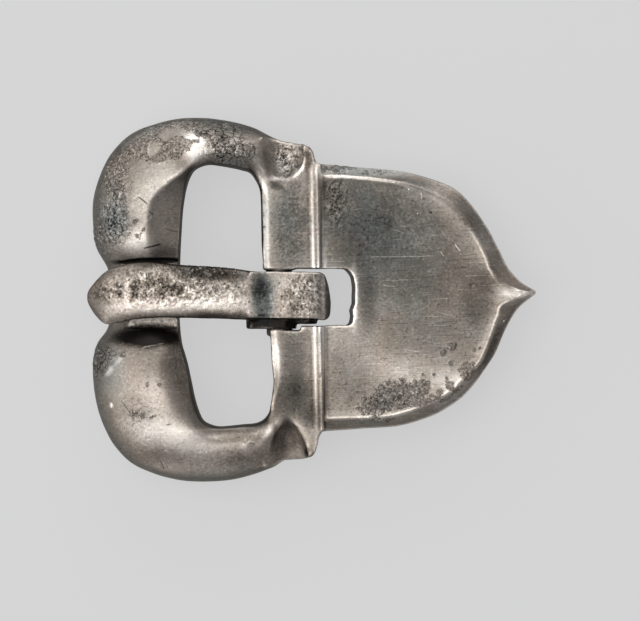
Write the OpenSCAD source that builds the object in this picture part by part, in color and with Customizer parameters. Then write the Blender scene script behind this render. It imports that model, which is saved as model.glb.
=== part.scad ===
// Shoe buckle: a one-piece cast frame with a two-lobed loop and a shield-shaped plate,
// and a broad tongue that swings on a round bar between them.
// +X points to the plate's tip, +Z up off the face of the buckle, and the back rests at Z = 0.

/* [Loop] */
// Height of the whole loop, as a share of the cast one
loop_height_scale = 1; // [0.9:0.01:1.1]
// Part of the loop's outer wall that stands steep before it rounds over
steep_share = 0.36; // [0.25:0.01:0.5]
// Height of the seat where the tongue rests on the loop
seat_z = 5.1; // [4.8:0.05:5.4]

/* [Bar and ridges] */
// Underside of the bar and the plate
back_z = 3.3; // [2.9:0.05:3.6]
// Flat top of the bar
bar_top_z = 5.35; // [5.1:0.05:5.6]
// Width of the bevel on the bar's edge towards the loop
bar_bevel = 0.55; // [0.2:0.05:0.8]
// Radius of each bead of the double ridge
bead_r = 0.24; // [0.15:0.01:0.35]
// Lean of the double ridge, in degrees
ridge_lean = 1.1; // [0:0.1:2]

/* [Plate] */
// Height of the plate's rim
rim_z = 4.3; // [3.9:0.05:4.7]
// Height of the crest between bevel and panel
crest_z = 5.3; // [5:0.05:5.6]
// Height of the dished panel
panel_z = 5.1; // [4.9:0.05:5.25]
// Length of the slot in the plate
slot_len = 4.85; // [4.6:0.05:5.2]
// Width of the slot in the plate
slot_w = 4.55; // [4.4:0.05:4.8]

/* [Tongue and hinge] */
// Distance of the hinge bar's axis from the middle of the buckle, towards the loop
hinge_x = -2.66; // [-2.7:0.01:-2.6]
// Height of the hinge bar's axis
hinge_z = 4.3; // [4.28:0.01:4.32]
// Radius of the hinge bar
hinge_r = 1; // [0.8:0.05:1]
// Running clearance round the hinge bar
hinge_play = 0.05; // [0.03:0.01:0.09]
// Gap between the tongue and the loop's seat
seat_gap = 0.15; // [0.1:0.05:0.3]

/* [Lugs on the back] */
// Radius of the holes in the lugs
lug_hole_r = 0.8; // [0.6:0.05:0.9]
// Radius of the rounded end of each lug
lug_r = 1.6; // [1.5:0.05:1.7]
// Thickness of each lug
lug_t = 1.2; // [1:0.1:1.5]
// Distance of the two wide-end lugs from the middle of the buckle
lug_pair_x = 5.4; // [5.2:0.1:6]
// Distance of each of the two from the buckle's long axis
lug_pair_y = 7.2; // [6.5:0.1:7.5]
// Distance of the single lug near the tip from the middle of the buckle
lug_tip_x = 12.6; // [12:0.1:12.8]

/* [Hidden] */
round_fn = 64;
row_steps = 2;
crown_steps = 5;
scoop_steps = 10;
overlap = 0.4;
far = 40;
reach_y = 5;

// Rounding at the foot of the loop: share of the section's width, and height
foot_in = 0.06;
foot_h = 0.45;

// Loop sections from the bar's upper end to the notch. Columns: outer foot x, y; inner foot x, y;
// crest height; crest place from outer 0 to inner 1; inner rim height; underside; bend of the inner fall.
upper_lobe = [
    [-2.10, 12.65, -4.30,  9.10, 5.7, 0.60, 5.1, 2.8, 2.0],
    [-3.25, 13.15, -4.90, 10.10, 5.9, 0.58, 5.0, 2.0, 2.0],
    [-4.50, 13.80, -5.65, 10.40, 6.1, 0.58, 5.1, 1.2, 2.0],
    [-6.30, 14.35, -6.55, 10.60, 6.3, 0.60, 5.3, 0.5, 2.0],
    [-8.40, 14.65, -7.45, 10.75, 6.5, 0.66, 5.6, 0.1, 2.0],
    [-10.55, 14.65, -8.25, 10.85, 6.7, 0.74, 6.0, 0, 2.0],
    [-12.65, 14.20, -8.90, 10.70, 6.9, 0.86, 6.3, 0, 1.4],
    [-14.60, 13.40, -9.45, 10.35, 7.1, 0.90, 6.4, 0, 1.2],
    [-16.00, 12.05, -9.80,  9.75, 7.3, 0.87, 6.1, 0, 1.1],
    [-16.95, 10.45, -10.05, 9.00, 7.4, 0.78, 5.7, 0, 1.1],
    [-17.60,  8.35, -10.30, 7.65, 7.4, 0.65, 5.5, 0, 1.1],
    [-17.70,  6.35, -10.45, 5.95, 7.3, 0.63, 5.4, 0, 1.1],
    [-17.45,  4.30, -10.55, 4.25, 6.9, 0.62, 5.4, 0, 1.1],
    [-16.50,  2.45, -10.60, 2.75, 5.9, 0.60, 5.2, 0, 1.2],
];

// Loop sections from the notch to the bar's lower end, with the same columns
lower_lobe = [
    [-16.20,  0.20, -10.65, 0.20, 5.3, 0.60, 5.1, 0, 1.2],
    [-16.45, -2.15, -10.60, -2.15, 5.8, 0.65, 5.2, 0, 1.2],
    [-17.40, -3.65, -10.40, -3.60, 6.9, 0.78, 5.6, 0, 1.2],
    [-17.70, -5.70, -10.00, -5.05, 7.3, 0.74, 5.5, 0, 1.3],
    [-17.50, -7.95, -9.60, -7.00, 7.4, 0.75, 5.5, 0, 1.4],
    [-16.95, -9.90, -9.30, -8.25, 7.4, 0.79, 5.7, 0, 1.4],
    [-16.05, -11.65, -9.00, -9.15, 7.3, 0.81, 5.9, 0, 1.4],
    [-14.70, -13.10, -8.65, -9.75, 7.1, 0.82, 5.9, 0, 1.4],
    [-12.85, -14.00, -8.05, -10.15, 6.9, 0.78, 5.8, 0, 1.5],
    [-10.80, -14.55, -7.45, -10.30, 6.7, 0.73, 5.6, 0, 1.6],
    [-8.65, -14.70, -6.55, -10.25, 6.5, 0.68, 5.4, 0.1, 1.6],
    [-6.60, -14.55, -5.55, -10.10, 6.3, 0.64, 5.2, 0.5, 1.6],
    [-4.85, -14.15, -4.50, -9.90, 6.1, 0.62, 5.1, 1.2, 1.7],
    [-3.55, -13.70, -3.85, -9.60, 5.9, 0.62, 5.1, 2.0, 1.8],
    [-2.50, -13.10, -3.40, -9.00, 5.7, 0.62, 5.1, 2.8, 2.0],
];

// Place of the plate's tip
tip_x = 18.05;
// Plate edge from the bar to the tip, then back. Columns: rim x, y; crest x, y.
plate_upper_edge = [
    [0.10, 10.95, 0.10, 9.95],
    [1.60, 10.85, 1.60, 9.95],
    [3.15, 10.70, 3.15, 9.90],
    [7.10, 10.35, 6.70, 9.50],
    [9.70, 9.70, 9.05, 8.75],
    [11.60, 8.85, 10.75, 7.85],
    [12.90, 7.55, 12.05, 6.65],
    [14.20, 5.70, 13.10, 5.20],
    [15.15, 3.85, 13.90, 3.65],
    [15.80, 2.55, 14.45, 2.25],
    [16.80, 1.45, 15.50, 1.15],
    [tip_x, 0.70, 17.45, 0.58],
];
plate_lower_edge = [
    [tip_x, 0.48, 17.45, 0.50],
    [16.80, -0.50, 15.40, -0.35],
    [16.15, -1.40, 14.95, -1.35],
    [15.50, -2.60, 14.45, -2.85],
    [14.85, -4.10, 13.95, -4.15],
    [14.20, -5.20, 13.40, -5.20],
    [12.90, -7.00, 12.20, -6.35],
    [11.60, -8.25, 11.00, -7.45],
    [9.70, -9.35, 9.10, -8.50],
    [7.10, -10.15, 6.80, -9.25],
    [4.70, -10.35, 4.60, -9.50],
    [0.10, -10.65, 0.10, -9.60],
];
// Middle of the plate's panel, and how far the dish reaches in from the crest
panel_middle = [7, 0];
dish_reach = 0.1;
// Height of the crest where it runs out at the tip, and the length over which it falls
tip_crest_z = 4.75;
tip_run = 2.5;
// Upright part of the plate's rim
rim_t = 0.45;

// Tongue sections from the tip to the block. Columns: x; upper edge y; lower edge y; then underside and
// crown, both measured up from where the tongue lies just clear of its seat.
tongue_rows = [
    [-18.05, 0.45, -0.10, -0.50, -0.05],
    [-17.85, 0.90, -0.55, -0.75, 0.35],
    [-17.25, 1.60, -1.40, -0.75, 0.90],
    [-16.55, 2.25, -1.95, -0.30, 1.35],
    [-15.60, 2.65, -1.85, 0, 1.65],
    [-14.35, 2.95, -1.60, 0, 1.85],
    [-12.40, 3.00, -1.42, 0, 2.00],
    [-10.65, 2.80, -1.45, 0, 2.05],
    [-8.30, 2.65, -1.50, 0.05, 2.00],
    [-6.05, 2.45, -1.58, 0.05, 1.90],
    [-4.40, 2.25, -1.65, 0.05, 1.78],
];
// Share of the tongue's thickness that its sides stand before the crown rounds over
tongue_side = 0.62;
// Crown's power curve, and the narrowing and height at the tongue's lower edges
tongue_crown = 0.7;
tongue_foot = 0.9;
tongue_foot_h = 0.2;
tongue_steps = 8;

// Block and hook seen from the side, as distances from the hinge axis
block_side = [
    [-2.4, 2.70], [1.0, 2.70], [2.4, 2.64], [3.1, 2.42], [3.6, 2.05], [3.98, 1.4], [4.2, 0.6],
    [4.2, -0.5], [3.95, -1.3], [3.3, -1.9], [2.4, -2.15], [-1.8, -2.15], [-2.3, -2.0],
    [-2.6, -1.6], [-2.6, 1.0], [-2.4, 2.0],
];
// Block seen from above, in the buckle's own X and Y
block_low_y = -1.62;
block_top = [
    [-5.4, 2.32], [-4.4, 2.25], [0.7, 2.22], [1.05, 2.0], [1.35, 1.1], [1.54, -0.3], [1.46, -1.3],
    [1.2, -1.6], [0.8, -1.7], [-5.4, block_low_y],
];
// Hook's flank below the block: how far it spreads, and its shape from the side about the hinge axis
flank_y = -2.35;
flank_side = [
    [-2.62, -1.6], [-2.27, -2.1], [0.85, -2.1], [0.85, 0.4], [-2.32, 1.6], [-2.62, 0.9],
];
// Width of the fine seam where the hook's end meets the tongue
seam_w = 0.12;

// Gap in the bar for the hook
hook_gap_y = [-2.5, 2.5];
hook_gap_x = [-4.6, -0.9];
slot_left = -1.4;
slot_mid_y = 0.2;
slot_clip = 0.5;
slot_bow = 0.1;

// Reach of the channel where the tongue lies
seat_x = [-20, -9.5];
seat_y = [-2.35, 3.5];

// Bar outline from above, either side of the hook's gap
bar_upper = [[-3.92, 2.0], [-3.92, 7.6], [-3.98, 8.6], [-4.3, 9.6], [-4.0, 10.4], [0.75, 10.4], [0.75, 2.0]];
bar_lower = [[-3.4, -2.0], [-3.22, -5.0], [-3.08, -6.6], [-3.25, -8.1], [-3.4, -9.0], [-3.6, -10.4],
    [1.0, -10.4], [1.0, -2.0]];
bar_ridge_y = [-10.55, 10.85];
bevel_end_y = 7.6;
bead_x = [0.14, 0.62];

// Corner terminals from above
terminal_upper = [[-4.0, 9.3], [-4.0, 13.3], [-3.15, 13.05], [-2.5, 12.78], [-1.6, 12.63], [-0.65, 12.47],
    [-0.2, 12.3], [0.08, 11.95], [0.2, 11.4], [0.35, 11.05], [0.7, 10.85], [0.7, 9.3]];
terminal_lower = [[-3.6, -9.3], [-4.0, -13.6], [-3.25, -13.6], [-2.75, -13.25], [-2.25, -12.9],
    [-0.6, -12.82], [0.0, -12.65], [0.28, -12.3], [0.45, -11.7], [0.55, -11.1], [0.75, -10.75], [0.9, -9.3]];
terminal_top_z = 5.5;
terminal_back_z = 3.1;
// Pointed scoops in the terminals: apex x, y; width; floor height at the apex; slope of the floor
scoop_upper = [-2.4, 9.55, 3.1, 4.75, 8];
scoop_lower = [-1.9, -9.5, 3.1, 4.75, 8];
scoop_arc_r = 4.4;

silver = [0.66, 0.64, 0.6];
pale_silver = [0.74, 0.71, 0.66];

// Smooth curve through the rows of a table, all columns at once
function blend(a, b, c, d, t) =
    (b * 2 + (c - a) * t + (a * 2 - b * 5 + c * 4 - d) * t * t + (b * 3 - a - c * 3 + d) * t * t * t) / 2;
function smooth(rows, steps) = let (last = len(rows) - 1) [
    for (i = [0 : last - 1]) for (s = [0 : steps - 1])
        blend(rows[max(i - 1, 0)], rows[i], rows[i + 1], rows[min(i + 2, last)], s / steps),
    rows[last]
];

// Middle of a ring of points
function middle(ring, i = 0) = i == len(ring) - 1 ? ring[i] / len(ring) : ring[i] / len(ring) + middle(ring, i + 1);

// Skin of a solid made of closed rings with the same number of points, each end closed by a fan
module skin(rings) {
    n = len(rings[0]);
    last = len(rings) - 1;
    points = concat([for (ring = rings) for (p = ring) p], [middle(rings[0]), middle(rings[last])]);
    first_mid = (last + 1) * n;
    faces = [
        for (j = [0 : n - 1]) let (k = (j + 1) % n) [first_mid, k, j],
        for (i = [0 : last - 1]) for (j = [0 : n - 1]) let (k = (j + 1) % n)
            each [[i * n + j, i * n + k, (i + 1) * n + k], [i * n + j, (i + 1) * n + k, (i + 1) * n + j]],
        for (j = [0 : n - 1]) let (k = (j + 1) % n) [first_mid + 1, last * n + j, last * n + k],
    ];
    polyhedron(points, faces, convexity = 10);
}

// One section of the loop: steep outer wall, rounded crown, crest, fall to the inner rim
function loop_profile(h, crest, rim, base, bend) =
    let (steep_top = base + steep_share * (h - base)) [
        [foot_in, base],
        [foot_in / 5, base + foot_h],
        for (a = [0 : 90 / crown_steps : 90]) [crest * (1 - cos(a)), steep_top + (h - steep_top) * sin(a)],
        for (t = [1 / 3, 2 / 3, 1]) [crest + (1 - crest) * t, h - (h - rim) * pow(t, bend)],
        [1, base + foot_h],
        [1 - foot_in / 3, base],
    ];
function loop_ring(row) =
    let (outer = [row[0], row[1]], inner = [row[2], row[3]], scale_z = loop_height_scale) [
        for (p = loop_profile(row[4] * scale_z, row[5], row[6] * scale_z, row[7], row[8]))
            let (q = outer + (inner - outer) * p[0]) [q[0], q[1], max(p[1], 0)]
    ];

module loop() {
    skin([for (row = smooth(concat(upper_lobe, lower_lobe), row_steps)) loop_ring(row)]);
}

// Plate: rings from the underside out to the rim, up to the crest and in to the dished panel
function crest_height(x) =
    let (t = min(max((x - tip_x + tip_run) / tip_run, 0), 1)) crest_z + (tip_crest_z - crest_z) * t;
module plate() {
    edge = concat(smooth(plate_upper_edge, row_steps), smooth(plate_lower_edge, row_steps));
    rim = [for (e = edge) [e[0], e[1]]];
    crest = [for (e = edge) [e[2], e[3]]];
    panel = [for (c = crest) c + (panel_middle - c) * dish_reach];
    skin([
        [for (c = crest) [c[0], c[1], back_z]],
        [for (r = rim) [r[0], r[1], rim_z - rim_t]],
        [for (r = rim) [r[0], r[1], rim_z]],
        [for (c = crest) [c[0], c[1], crest_height(c[0])]],
        [for (p = panel) [p[0], p[1], min(panel_z, crest_height(p[0]))]],
    ]);
}

module bar() {
    difference() {
        half_bar(bar_upper);
        translate([bar_upper[0][0], 0, bar_top_z])
            rotate([90, 0, 0])
                rotate([0, 0, 45])
                    cube([bar_bevel * sqrt(2), bar_bevel * sqrt(2), 2 * bevel_end_y], center = true);
    }
    half_bar(bar_lower);
    for (x = bead_x)
        rotate([0, 0, ridge_lean])
            translate([x, bar_ridge_y[1], bar_top_z - 0.02])
                rotate([90, 0, 0])
                    cylinder(h = bar_ridge_y[1] - bar_ridge_y[0], r = bead_r, $fn = round_fn);
}

// A stretch of the bar
module half_bar(outline) {
    translate([0, 0, back_z - 0.05])
        linear_extrude(bar_top_z - back_z + 0.05)
            polygon(outline);
}

module terminal(outline) {
    translate([0, 0, terminal_back_z])
        linear_extrude(terminal_top_z - terminal_back_z)
            polygon(outline);
}

// Pointed arch seen from above, with its apex at the origin and its mouth along +Y
function scoop_outline(width) =
    let (off = scoop_arc_r - width / 2, apex_a = acos(off / scoop_arc_r), rise = scoop_arc_r * sin(apex_a)) [
        for (i = [0 : scoop_steps]) let (a = apex_a * (1 - i / scoop_steps))
            [-off + scoop_arc_r * cos(a), rise - scoop_arc_r * sin(a)],
        [width / 2, rise + overlap + 2],
        [-width / 2, rise + overlap + 2],
        for (i = [0 : scoop_steps - 1]) let (a = apex_a * i / scoop_steps)
            [off - scoop_arc_r * cos(a), rise - scoop_arc_r * sin(a)],
    ];
module scoop(s, turn) {
    translate([s[0], s[1], s[3]])
        rotate([0, 0, turn])
            rotate([-s[4], 0, 0])
                linear_extrude(4)
                    polygon(scoop_outline(s[2]));
}

module lug(x, y) {
    translate([x, y + lug_t / 2, lug_r])
        rotate([90, 0, 0])
            difference() {
                union() {
                    cylinder(h = lug_t, r = lug_r, $fn = round_fn);
                    translate([-lug_r, 0, 0])
                        cube([2 * lug_r, back_z - lug_r + overlap, lug_t]);
                }
                translate([0, 0, -1])
                    cylinder(h = lug_t + 2, r = lug_hole_r, $fn = round_fn);
            }
}

// Slot in the plate with clipped corners and a bowed end, and the gap in the bar for the hook
module slot_cut() {
    low = slot_mid_y - slot_w / 2;
    high = slot_mid_y + slot_w / 2;
    right = slot_left + slot_len;
    translate([0, 0, -overlap])
        linear_extrude(far)
            polygon([
                [slot_left, low], [right - slot_clip, low], [right - slot_bow, low + 2 * slot_clip],
                [right, slot_mid_y], [right - slot_bow, high - 2 * slot_clip], [right - slot_clip, high],
                [slot_left, high],
            ]);
    translate([hook_gap_x[0], hook_gap_y[0], -overlap])
        cube([hook_gap_x[1] - hook_gap_x[0], hook_gap_y[1] - hook_gap_y[0], far]);
}

// Channel across the loop where the tongue lies
module seat_cut() {
    translate([seat_x[0], seat_y[0], seat_z])
        cube([seat_x[1] - seat_x[0], seat_y[1] - seat_y[0], far]);
}

module hinge_bar() {
    translate([hinge_x, hook_gap_y[1] + overlap, hinge_z])
        rotate([90, 0, 0])
            cylinder(h = hook_gap_y[1] - hook_gap_y[0] + 2 * overlap, r = hinge_r, $fn = round_fn);
}

module buckle_frame() {
    color(silver) {
        difference() {
            union() {
                loop();
                plate();
                bar();
                terminal(terminal_upper);
                terminal(terminal_lower);
            }
            slot_cut();
            seat_cut();
            scoop(scoop_upper, 0);
            scoop(scoop_lower, 180);
        }
        hinge_bar();
        for (y = [-lug_pair_y, lug_pair_y]) lug(lug_pair_x, y);
        lug(lug_tip_x, 0);
    }
}

// One section of the tongue: flat underside, upright sides, crowned top
function tongue_ring(row) =
    let (mid = (row[1] + row[2]) / 2, half = (row[1] - row[2]) / 2,
        low = seat_z + seat_gap + row[3], crown = seat_z + seat_gap + row[4],
        side_z = low + tongue_side * (crown - low)) [
        [row[0], mid - half * tongue_foot, low],
        [row[0], mid - half, low + tongue_foot_h],
        for (a = [0 : 180 / tongue_steps : 180])
            [row[0], mid - half * cos(a), side_z + (crown - side_z) * pow(sin(a), tongue_crown)],
        [row[0], mid + half, low + tongue_foot_h],
        [row[0], mid + half * tongue_foot, low],
    ];

module tongue_blade() {
    skin([for (row = smooth(tongue_rows, row_steps)) tongue_ring(row)]);
}

// A prism across the buckle, from its outline seen from the side about the hinge axis
module across(outline, from_y, to_y) {
    translate([hinge_x, to_y, hinge_z])
        rotate([90, 0, 0])
            linear_extrude(to_y - from_y)
                polygon(outline);
}

module block() {
    intersection() {
        across(block_side, -reach_y, reach_y);
        linear_extrude(far)
            polygon(block_top);
    }
    across(flank_side, flank_y, block_low_y + overlap);
}

module tongue() {
    color(pale_silver) difference() {
        union() {
            tongue_blade();
            block();
        }
        translate([hinge_x, reach_y, hinge_z])
            rotate([90, 0, 0])
                cylinder(h = 2 * reach_y, r = hinge_r + hinge_play, $fn = round_fn);
        across([[-reach_y, -seam_w / 2], [0, -seam_w / 2], [0, seam_w / 2], [-reach_y, seam_w / 2]],
            -reach_y, reach_y);
    }
}

buckle_frame();
tongue();
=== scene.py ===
# %% [markdown]
# # An old cast silver shoe buckle
# The buckle is two castings. The frame holds the two swollen lobes of the loop, the flat bar and the
# shield-shaped plate. The tongue hangs on a round bar and lies across the loop. This lesson builds both
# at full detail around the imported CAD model, which stays the measure of every place and size.

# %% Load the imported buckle
import math
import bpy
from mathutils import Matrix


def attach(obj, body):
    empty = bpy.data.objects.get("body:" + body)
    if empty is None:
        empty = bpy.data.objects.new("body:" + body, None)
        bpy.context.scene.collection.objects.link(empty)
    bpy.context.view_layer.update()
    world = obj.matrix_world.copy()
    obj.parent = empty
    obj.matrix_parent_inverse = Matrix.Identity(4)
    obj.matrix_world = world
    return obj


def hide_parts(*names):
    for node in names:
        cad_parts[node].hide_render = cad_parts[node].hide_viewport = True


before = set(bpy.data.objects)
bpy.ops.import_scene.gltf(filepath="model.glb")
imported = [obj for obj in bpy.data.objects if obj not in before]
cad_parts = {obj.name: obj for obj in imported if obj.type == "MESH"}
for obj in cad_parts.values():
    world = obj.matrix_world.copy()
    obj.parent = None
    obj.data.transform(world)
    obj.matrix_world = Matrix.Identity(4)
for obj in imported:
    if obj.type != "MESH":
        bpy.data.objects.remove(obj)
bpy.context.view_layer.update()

from types import SimpleNamespace

import bpy
import numpy as np
from mathutils import Matrix, Vector

# %% [markdown]
# ## Working in millimetres
# A buckle is tiny for Blender, whose unit is a metre, and some of its tools stop at a tenth of a
# millimetre. So everything is shaped at one unit to the millimetre on a workbench collection, and the
# finished mesh is shrunk by a thousand at the end, inside its own vertices.

# %% A workbench for half-made pieces
MM = 0.001
bench = bpy.data.collections.new("bench")
bpy.context.scene.collection.children.link(bench)
print("workbench:", bench.name, "with one unit for", MM, "m")


def on_bench(name, verts, faces):
    """A mesh object on the bench, from its corners and faces."""
    mesh = bpy.data.meshes.new(name)
    mesh.from_pydata([tuple(map(float, v)) for v in verts], [], faces)
    piece = bpy.data.objects.new(name, mesh)
    bench.objects.link(piece)
    return piece


def settle(piece):
    """Makes the modifiers' result the piece's own plain mesh."""
    graph = bpy.context.evaluated_depsgraph_get()
    mesh = bpy.data.meshes.new_from_object(piece.evaluated_get(graph))
    piece.modifiers.clear()
    piece.data = mesh
    return piece


def keep_value(piece, name, value):
    """Keeps a value for each corner on the mesh under a name."""
    mesh = piece.data
    store = mesh.attributes.get(name) or mesh.attributes.new(name, "FLOAT", "POINT")
    store.data.foreach_set("value", np.asarray(value, np.float32))


def size_of(piece):
    """Lowest and highest corner, for the print-outs."""
    co = np.array([v.co for v in piece.data.vertices])
    return co.min(0).round(2).tolist(), co.max(0).round(2).tolist()


# %% [markdown]
# ## Two ways to make a solid
# A casting like this has two kinds of shape. Swelling ones, such as the lobes, are a skin over a row of
# sections. Flat ones, such as the bar, are an outline pushed through a thickness. Both helpers give a
# closed solid with its faces outwards, so the solids can be joined and cut later.

# %% Smooth rows, skins and prisms
def smooth_rows(rows, steps):
    """A smooth curve through the rows of a table, all columns at once."""
    p = np.array(rows, float)
    p = np.vstack([p[:1], p, p[-1:]])
    t = np.arange(steps)[:, None] / steps
    runs = [
        (2 * b + (c - a) * t + (2 * a - 5 * b + 4 * c - d) * t**2 + (3 * b - a - 3 * c + d) * t**3) / 2
        for a, b, c, d in zip(p, p[1:], p[2:], p[3:])
    ]
    return np.vstack(runs + [p[-1:]])


def skin(name, rings):
    """A closed solid over rings with equal numbers of points, each end closed by a fan."""
    rings = np.asarray(rings, float)
    count, n, _ = rings.shape
    verts = np.vstack([rings.reshape(-1, 3), rings[0].mean(0), rings[-1].mean(0)])
    first, last = count * n, count * n + 1
    faces = [(first, (j + 1) % n, j) for j in range(n)]
    faces += [
        (i * n + j, i * n + (j + 1) % n, (i + 1) * n + (j + 1) % n, (i + 1) * n + j)
        for i in range(count - 1)
        for j in range(n)
    ]
    faces += [(last, (count - 1) * n + j, (count - 1) * n + (j + 1) % n) for j in range(n)]
    return outwards(on_bench(name, verts, faces))


def outwards(piece):
    """Turns a closed solid the right way round if its volume comes out negative."""
    mesh = piece.data
    mesh.calc_loop_triangles()
    co = np.array([v.co for v in mesh.vertices])
    tri = np.array([t.vertices for t in mesh.loop_triangles])
    a, b, c = co[tri[:, 0]], co[tri[:, 1]], co[tri[:, 2]]
    if np.einsum("ij,ij->i", a, np.cross(b, c)).sum() < 0:
        mesh.flip_normals()
    return piece


def prism(name, outline, low, high, along="z"):
    """An outline pushed from low to high, up along z or across the buckle along y."""
    n = len(outline)
    place = (lambda p, h: (p[0], p[1], h)) if along == "z" else (lambda p, h: (p[0], h, p[1]))
    verts = [place(p, h) for h in (low, high) for p in outline]
    faces = [tuple(range(n)), tuple(range(2 * n - 1, n - 1, -1))]
    faces += [(i, n + i, n + (i + 1) % n, (i + 1) % n) for i in range(n)]
    return outwards(on_bench(name, verts, faces))


def combine(body, tool, how):
    """Joins or cuts two closed solids on the bench, and clears the tool away."""
    change = body.modifiers.new(how.lower(), "BOOLEAN")
    change.operation, change.solver, change.object = how, "MANIFOLD", tool
    settle(body)
    bpy.data.objects.remove(tool)
    return body


# %% [markdown]
# ## Helpers for node trees
# Geometry Nodes make whatever follows a rule or repeats on this buckle: the two-lobed loop, the tongue,
# the double ridge, the lugs and the worn skin. Their sizes are named inputs that can be turned like the
# knobs of a tool. The helpers write such trees in a line for each node, and a Wire lets numbers inside a
# tree be added and multiplied as plain ones are, so a section's formula can be read as a formula.

# %% Helpers for node trees
def node(tree, kind, inputs=(), **settings):
    """A node with its settings made and its inputs linked, from a socket or a Wire, or filled in."""
    made = tree.nodes.new(kind)
    for name, value in settings.items():
        setattr(made, name, value)
    for key, value in dict(inputs).items():
        value = getattr(value, "socket", value)
        if isinstance(value, bpy.types.NodeSocket):
            tree.links.new(value, made.inputs[key])
        else:
            made.inputs[key].default_value = value
    return made


def calc(tree, what, *terms):
    """The result of a Math node, as a Wire."""
    return Wire(tree, node(tree, "ShaderNodeMath", enumerate(terms), operation=what).outputs[0])


def geometry_tree(name, **knobs):
    """A Geometry Nodes tree with an input for each knob: a material where it is None, otherwise a number."""
    tree = bpy.data.node_groups.new(name, "GeometryNodeTree")
    tree.interface.new_socket("Geometry", in_out="INPUT", socket_type="NodeSocketGeometry")
    for knob, value in knobs.items():
        kind = "NodeSocketMaterial" if value is None else "NodeSocketFloat"
        socket = tree.interface.new_socket(knob, in_out="INPUT", socket_type=kind)
        if value is not None:
            socket.default_value = value
    tree.interface.new_socket("Geometry", in_out="OUTPUT", socket_type="NodeSocketGeometry")
    return tree, tree.nodes.new("NodeGroupInput").outputs


def finish_tree(tree, geometry, material):
    """Ends a tree in Realize Instances and Set Material."""
    real = node(tree, "GeometryNodeRealizeInstances", {0: geometry})
    painted = node(tree, "GeometryNodeSetMaterial", {"Geometry": real.outputs[0], "Material": material})
    node(tree, "NodeGroupOutput", {0: painted.outputs[0]})


def grow(piece, tree, **knobs):
    """Runs a tree on a piece with its knobs set by identifier, and keeps the result as plain mesh."""
    change = piece.modifiers.new(tree.name, "NODES")
    change.node_group = tree
    for item in tree.interface.items_tree:
        if item.in_out == "INPUT" and item.name in knobs:
            change[item.identifier] = knobs[item.name]
    return settle(piece)


def named(tree, name):
    """A value kept on the mesh, read inside a geometry tree."""
    made = node(tree, "GeometryNodeInputNamedAttribute", {"Name": name}, data_type="FLOAT")
    return Wire(tree, made.outputs[0])


class Wire:
    """A number inside a node tree that is added, taken away and multiplied like a plain one."""

    def __init__(self, tree, socket):
        self.tree, self.socket = tree, socket

    def math(self, what, *others):
        return calc(self.tree, what, self, *others)

    def __add__(self, other):
        return self.math("ADD", other)

    def __sub__(self, other):
        return self.math("SUBTRACT", other)

    def __rsub__(self, other):
        return self.math("MULTIPLY_ADD", -1, other)

    def __mul__(self, other):
        return self.math("MULTIPLY", other)

    def __truediv__(self, other):
        return self.math("DIVIDE", other)

    __radd__, __rmul__ = __add__, __mul__


# %% [markdown]
# ## The cast skin material, first named here
# The trees hand their result a material, so both finishes get their names now and their nodes later.

# %% Name the two finishes
cast_silver = bpy.data.materials.new("cast_silver_tarnished")
tongue_silver = bpy.data.materials.new("tongue_silver_pitted")
print("finishes:", cast_silver.name, "and", tongue_silver.name)

# %% [markdown]
# ## A tube bent over rows
# The loop and the tongue could be pushed and pulled out of a cylinder by hand, as a carver would work wax.
# Here the wax obeys a rule: a plain cylinder gets one ring for each row of a table, and each of its points
# asks which row it is in and how far round the section it is. The section is a sum of short legs, and each
# leg goes from 0 to 1 where the one before it has ended, so every side of the section is one term.

# %% Rows that carry values, and a tube that reads them
def rows_on_bench(name, columns, table, steps):
    """Loose points, one for each row of the smoothed table, that carry its columns as named values."""
    rows = smooth_rows(table, steps)
    piece = on_bench(name, np.zeros((len(rows), 3)), [])
    for column, values in zip(columns, rows.T):
        keep_value(piece, column, values)
    return piece


def tube_on_rows(tree, rows, sides):
    """A closed tube with a ring for each row, each point's way round it, and a reader of the rows' values."""
    count = node(tree, "GeometryNodeAttributeDomainSize", {"Geometry": rows}).outputs["Point Count"]
    last = calc(tree, "SUBTRACT", count, 1)
    tube = node(tree, "GeometryNodeMeshCylinder",
                {"Vertices": sides, "Side Segments": last, "Radius": 1.0, "Depth": 1.0},
                fill_type="TRIANGLE_FAN").outputs[0]
    spot = node(tree, "ShaderNodeSeparateXYZ", {0: node(tree, "GeometryNodeInputPosition").outputs[0]})
    x, y, z = (Wire(tree, out) for out in spot.outputs)
    round_it = (y.math("ARCTAN2", x) / (2 * math.pi) + 1).math("FRACT")
    row = ((z + 0.5) * last).math("ROUND")
    on_ring = (x * x + y * y).math("ROUND")

    def read(name):
        sample = {"Geometry": rows, "Value": named(tree, name), "Index": row}
        return Wire(tree, node(tree, "GeometryNodeSampleIndex", sample).outputs[0])

    return tube, round_it, on_ring, read


def legs(way, ends):
    """How far a point is along each leg of its way round: 0 before the leg, 1 after it."""
    made = []
    for start, end in zip(ends, ends[1:]):
        leg = node(way.tree, "ShaderNodeMapRange", {0: way, 1: start, 2: end})
        made.append(Wire(way.tree, leg.outputs[0]))
    return made


def bend_tube(tree, tube, x, y, z, material):
    """Moves the tube's points to the places that the section gives, and ends the tree."""
    place = node(tree, "ShaderNodeCombineXYZ", {0: x, 1: y, 2: z}).outputs[0]
    bent = node(tree, "GeometryNodeSetPosition", {"Geometry": tube, "Position": place})
    finish_tree(tree, bent.outputs[0], material)


# %% [markdown]
# ## The loop
# Seen from above each lobe is a fat crescent. Cut across, it stands steep outside, rounds over to a
# crest, falls to the opening's rim and drops down the opening's wall, which leans out a little, so that a
# dark line shows inside the bright rim. The table gives that section at places along the loop, and the
# curve through the table gives the rest, so the two lobes flow into one another at the notch.

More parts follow.
